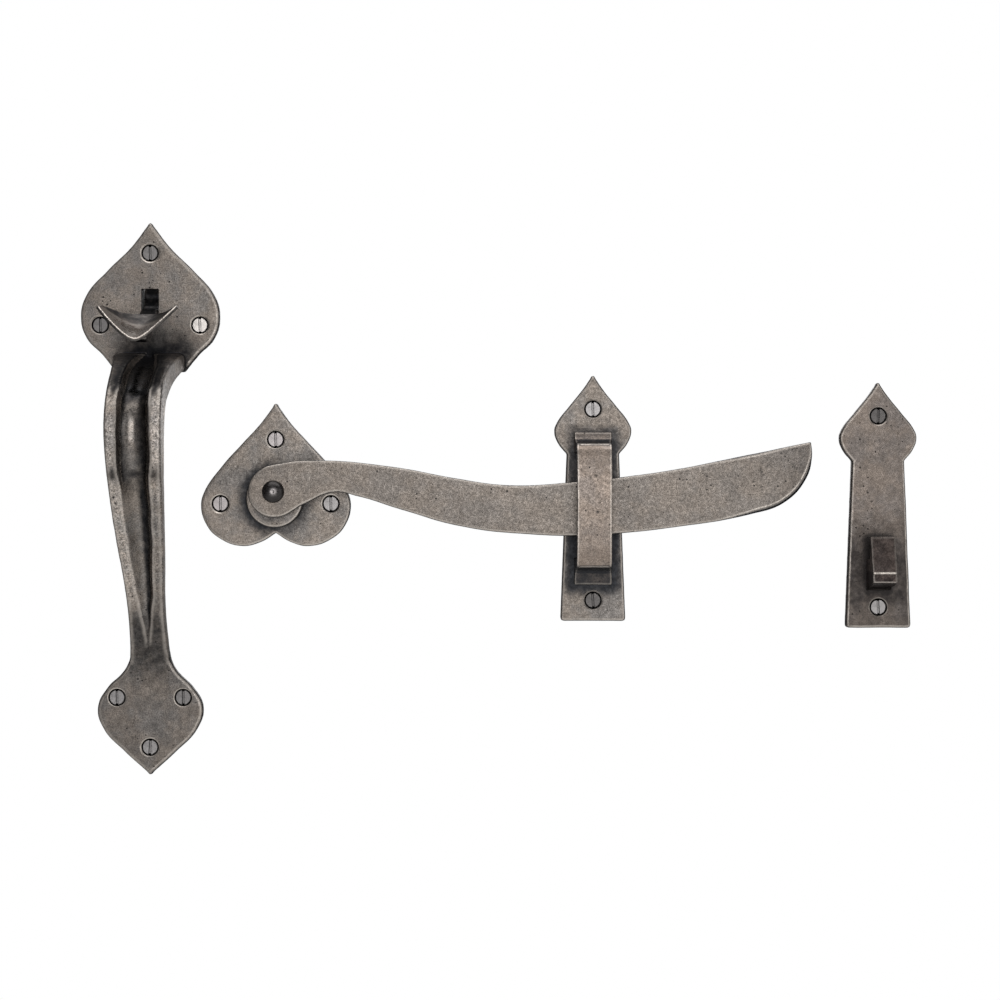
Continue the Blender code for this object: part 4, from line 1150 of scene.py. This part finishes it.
def make_catch():
    x, _ = middle_of("catch_hook")
    ridge = CATCH_TOP + HOOK_RIDGE
    mortise = (HOOK_TENON_MIDDLE, HOOK_TENON_WIDTH, HOOK_TENON_HEIGHT)
    shape = outline_solid("hook", HOOK, HOOK_WIDTH, place(x, 0, CATCH_TOP) @ FACING_SIDE)
    end = tenon(x, CATCH_TOP + mortise[0], *mortise[1:], GAP, HOOK_TENON_FRONT, rounding=0.3)
    hook = cast("hook_forging", [shape, end], 0.2)
    forge(hook, 0.1, 6.0)

    # Dark all over, darker on the face above the ridge, with painted shade under the nose.
    def hook_patina_and_shade(across, depth, up):
        return 0.64 + ease(ridge + 0.6, ridge - 0.1, up) * 0.2 + ease(ridge - 4.6, ridge - 5.4, up) * 0.1

    # Painted highlights: a line just below the ridge and a fainter one along the nose's lower edge.
    def hook_highlight(across, depth, up):
        lines = bell(up - ridge + 0.25, 0.38) + 0.45 * bell(up - ridge + 4.2, 0.26)
        return lines * (depth > HOOK_RIDGE_DEPTH) * (np.abs(across - x) < HOOK_WIDTH / 2 - 0.4)

    hook = finish_cast(hook, hook_patina_and_shade, (0.5, 0.26, 0.22, 0.5), light=hook_highlight)
    _, depth, up = seen(hook)
    set_mask(hook, "polish_and_sheen", 0.7 * (up < ridge) * (depth > HOOK_RIDGE_DEPTH))
    tones = (0.31, 0.245, 0.215), (0.25, 0.21, 0.2), (0.026, 0.021, 0.02)
    brown = aged_pewter("pewter_hook", (0.4, 0.9, 0.6), *tones, roughness=0.42, side_shade=0.5)
    dress(hook, brown, "catch_hook")

    # Patina and painted shade round the hook, and darker towards the plate's lower end.
    def plate_patina_and_shade(across, depth, up):
        near = beside_block(np.abs(across - x), up, HOOK_WIDTH / 2 - 1, CATCH_TOP - 69, CATCH_TOP - 91, 5.0)
        lower_end = ease(-38, -80, up - CATCH_TOP) * (0.74 - 0.2 * ease(-92, -104, up - CATCH_TOP))
        return np.maximum(0.95 * near, lower_end) * (depth > 1)

    tones = (0.235, 0.196, 0.168), (0.208, 0.182, 0.166), (0.038, 0.034, 0.033)
    pewter = aged_pewter("pewter_catch", (0.6, 0.3, 0.7), *tones, roughness=0.44, speckle=0.7, side_shade=0.7)
    strap_plate("catch", x, CATCH_TOP, [mortise], plate_patina_and_shade, 7.0, pewter)


def screw_radius(depth, turn):
    """A wood screw's radius at a depth below its face and a share of a turn: head, shank, thread, point."""
    if depth < HEAD_RIM:
        return HEAD_RADIUS
    if depth < CONE_END:
        return HEAD_RADIUS - (depth - HEAD_RIM)
    if depth < THREAD_START:
        return SHANK_RADIUS
    grown = min((depth - THREAD_START) / 2, 1)
    wave = (depth / THREAD_PITCH - turn) % 1
    ridge = max(0, 1 - abs(wave - 0.5) / 0.24)
    root = SHANK_RADIUS + (THREAD_ROOT - SHANK_RADIUS) * grown
    radius = root + (SHANK_RADIUS + 0.04 - root) * ridge
    left = (SCREW_LENGTH - depth) / SCREW_TIP
    return radius * min(1, max(left, 0.02) ** 0.75)


def screw_mesh():
    """One slotted wood screw, its face at the origin and its point behind, with a helical thread."""
    depths = [0.0, HEAD_BEVEL, HEAD_RIM, CONE_END, *np.arange(RINGS_START, SCREW_LENGTH + 0.01, RINGS_STEP)]
    rings = []
    for depth in depths:
        ring = []
        for side in range(SCREW_SIDES):
            turn = side / SCREW_SIDES
            radius = screw_radius(depth, turn) - (HEAD_EDGE if depth == 0 else 0)
            angle = 2 * math.pi * turn
            ring.append((radius * math.cos(angle) * MM, depth * MM, radius * math.sin(angle) * MM))
        rings.append(ring)
    screw = loft("wood_screw", rings)
    half, end, silt = DRIVE_SLOT_WIDTH / 2, HEAD_RADIUS + OVERCUT, DRIVE_SLOT_DEPTH - SLOT_SILT
    screw = cut(screw, [block("drive", (-half, -silt, -end), (half, OVERCUT, end))])
    for side in (-1, 1):
        left, right = sorted((side * half, side * (half - SLOT_CORNER)))
        screw = cut(screw, [block("corner", (left, -DRIVE_SLOT_DEPTH, -end), (right, OVERCUT, end))])
        low, high = sorted((side * end, side * (HEAD_RADIUS - SLOT_NOTCH)))
        screw = cut(screw, [block("notch", (-half, -DRIVE_SLOT_DEPTH, low), (half, OVERCUT, high))])
    # Painted shade on the drive slot's walls and the head's rim, and a little on the slot's floor.
    shares = []
    for face in screw.data.polygons:
        x, y, z = face.center / MM
        in_slot = abs(x) < half + 0.01 and 0.05 < y < DRIVE_SLOT_DEPTH + 0.01
        rim = math.hypot(x, z) > HEAD_RADIUS - HEAD_EDGE * 0.7
        floor = in_slot and y < silt + 0.01 and abs(face.normal.y) > 0.5
        shares.append(0.25 if floor else 0.95 if in_slot or rim else 0.0)
    screw.data.attributes.new("patina_and_shade", "FLOAT", "FACE").data.foreach_set("value", shares)
    shade(screw, 20)
    made = screw.data
    remove(screw)
    return made


def make_screws():
    mesh = screw_mesh()
    # Each screw gets the lit or shaded copy of the steel painted for where it stands.
    lit_steels = {kind: turned_metal(f"steel_{kind}", *tone_and_roughness) for kind, tone_and_roughness in SCREW_LIT_STEELS.items()}
    for prefix, kinds in SCREW_PAINTED_LIGHT.items():
        for number, kind in enumerate(kinds, 1):
            node = f"{prefix}_screw_{number}"
            x, z = middle_of(node)
            lean = Matrix.Rotation(math.radians(7 * noise.noise(Vector((x, z, 0.5)))), 4, "Y")
            screw = new_object(f"wood_{node}", mesh.copy(), place(x, PLATE - HEAD_BELOW, z) @ lean)
            dress(screw, lit_steels[kind], node)
    return lit_steels["grey"]


# ---- studio

def area_light(name, where, at, size, power):
    data = bpy.data.lights.new(name, "AREA")
    data.shape = "RECTANGLE"
    data.size, data.size_y = size
    data.energy = power
    light = new_object(name, data)
    light.location = where
    light.rotation_euler = (Vector(at) - Vector(where)).to_track_quat("-Z", "Y").to_euler()
    light.visible_camera = False


def make_floor(centre, height):
    shape = bmesh.new()
    bmesh.ops.create_grid(shape, x_segments=1, y_segments=1, size=1)
    floor = object_from(shape, "floor", Matrix.Translation((centre.x, -0.5, height)))
    floor.scale = (1.6, 1.0, 1)
    paint = Tree("floor_paint")
    floor.data.materials.append(paint.surface(
        Base_Color=(0.85, 0.85, 0.84, 1), Roughness=0.8, Emission_Color=(1, 1, 1, 1), Emission_Strength=0.12,
    ))


def make_studio():
    low, high = cad_bounds
    centre = (low + high) / 2
    camera_data = bpy.data.cameras.new("camera")
    camera_data.sensor_width, camera_data.lens = CAMERA_SENSOR, CAMERA_LENS
    camera = new_object("camera", camera_data)
    camera.location = CAMERA_PLACE
    camera.rotation_euler = (math.pi / 2, 0, 0)
    bpy.context.scene.camera = camera
    for name, (where, size, power) in LIGHTS.items():
        area_light(name, where, centre, size, power)
    make_floor(centre, low.z - FLOOR_DROP)

    # The camera sees a white background, while the pieces reflect a dim room.
    world = bpy.data.worlds.new("studio")
    bpy.context.scene.world = world
    world.use_nodes = True
    nodes, links = world.node_tree.nodes, world.node_tree.links
    background = nodes["Background"]
    background.inputs["Color"].default_value = (1, 1, 1, 1)
    room = nodes.new("ShaderNodeBackground")
    room.inputs["Color"].default_value = (0.14, 0.14, 0.145, 1)
    mix = nodes.new("ShaderNodeMixShader")
    links.new(nodes.new("ShaderNodeLightPath").outputs["Is Camera Ray"], mix.inputs["Fac"])
    links.new(room.outputs[0], mix.inputs[1])
    links.new(background.outputs[0], mix.inputs[2])
    links.new(mix.outputs[0], nodes["World Output"].inputs["Surface"])
    bpy.context.scene.view_settings.view_transform = "Standard"


make_studio()
make_handle()
make_thumb_piece()
make_pivot_plate()
make_bar()
make_rivet()
make_keeper()
make_catch()
make_pin(make_screws())
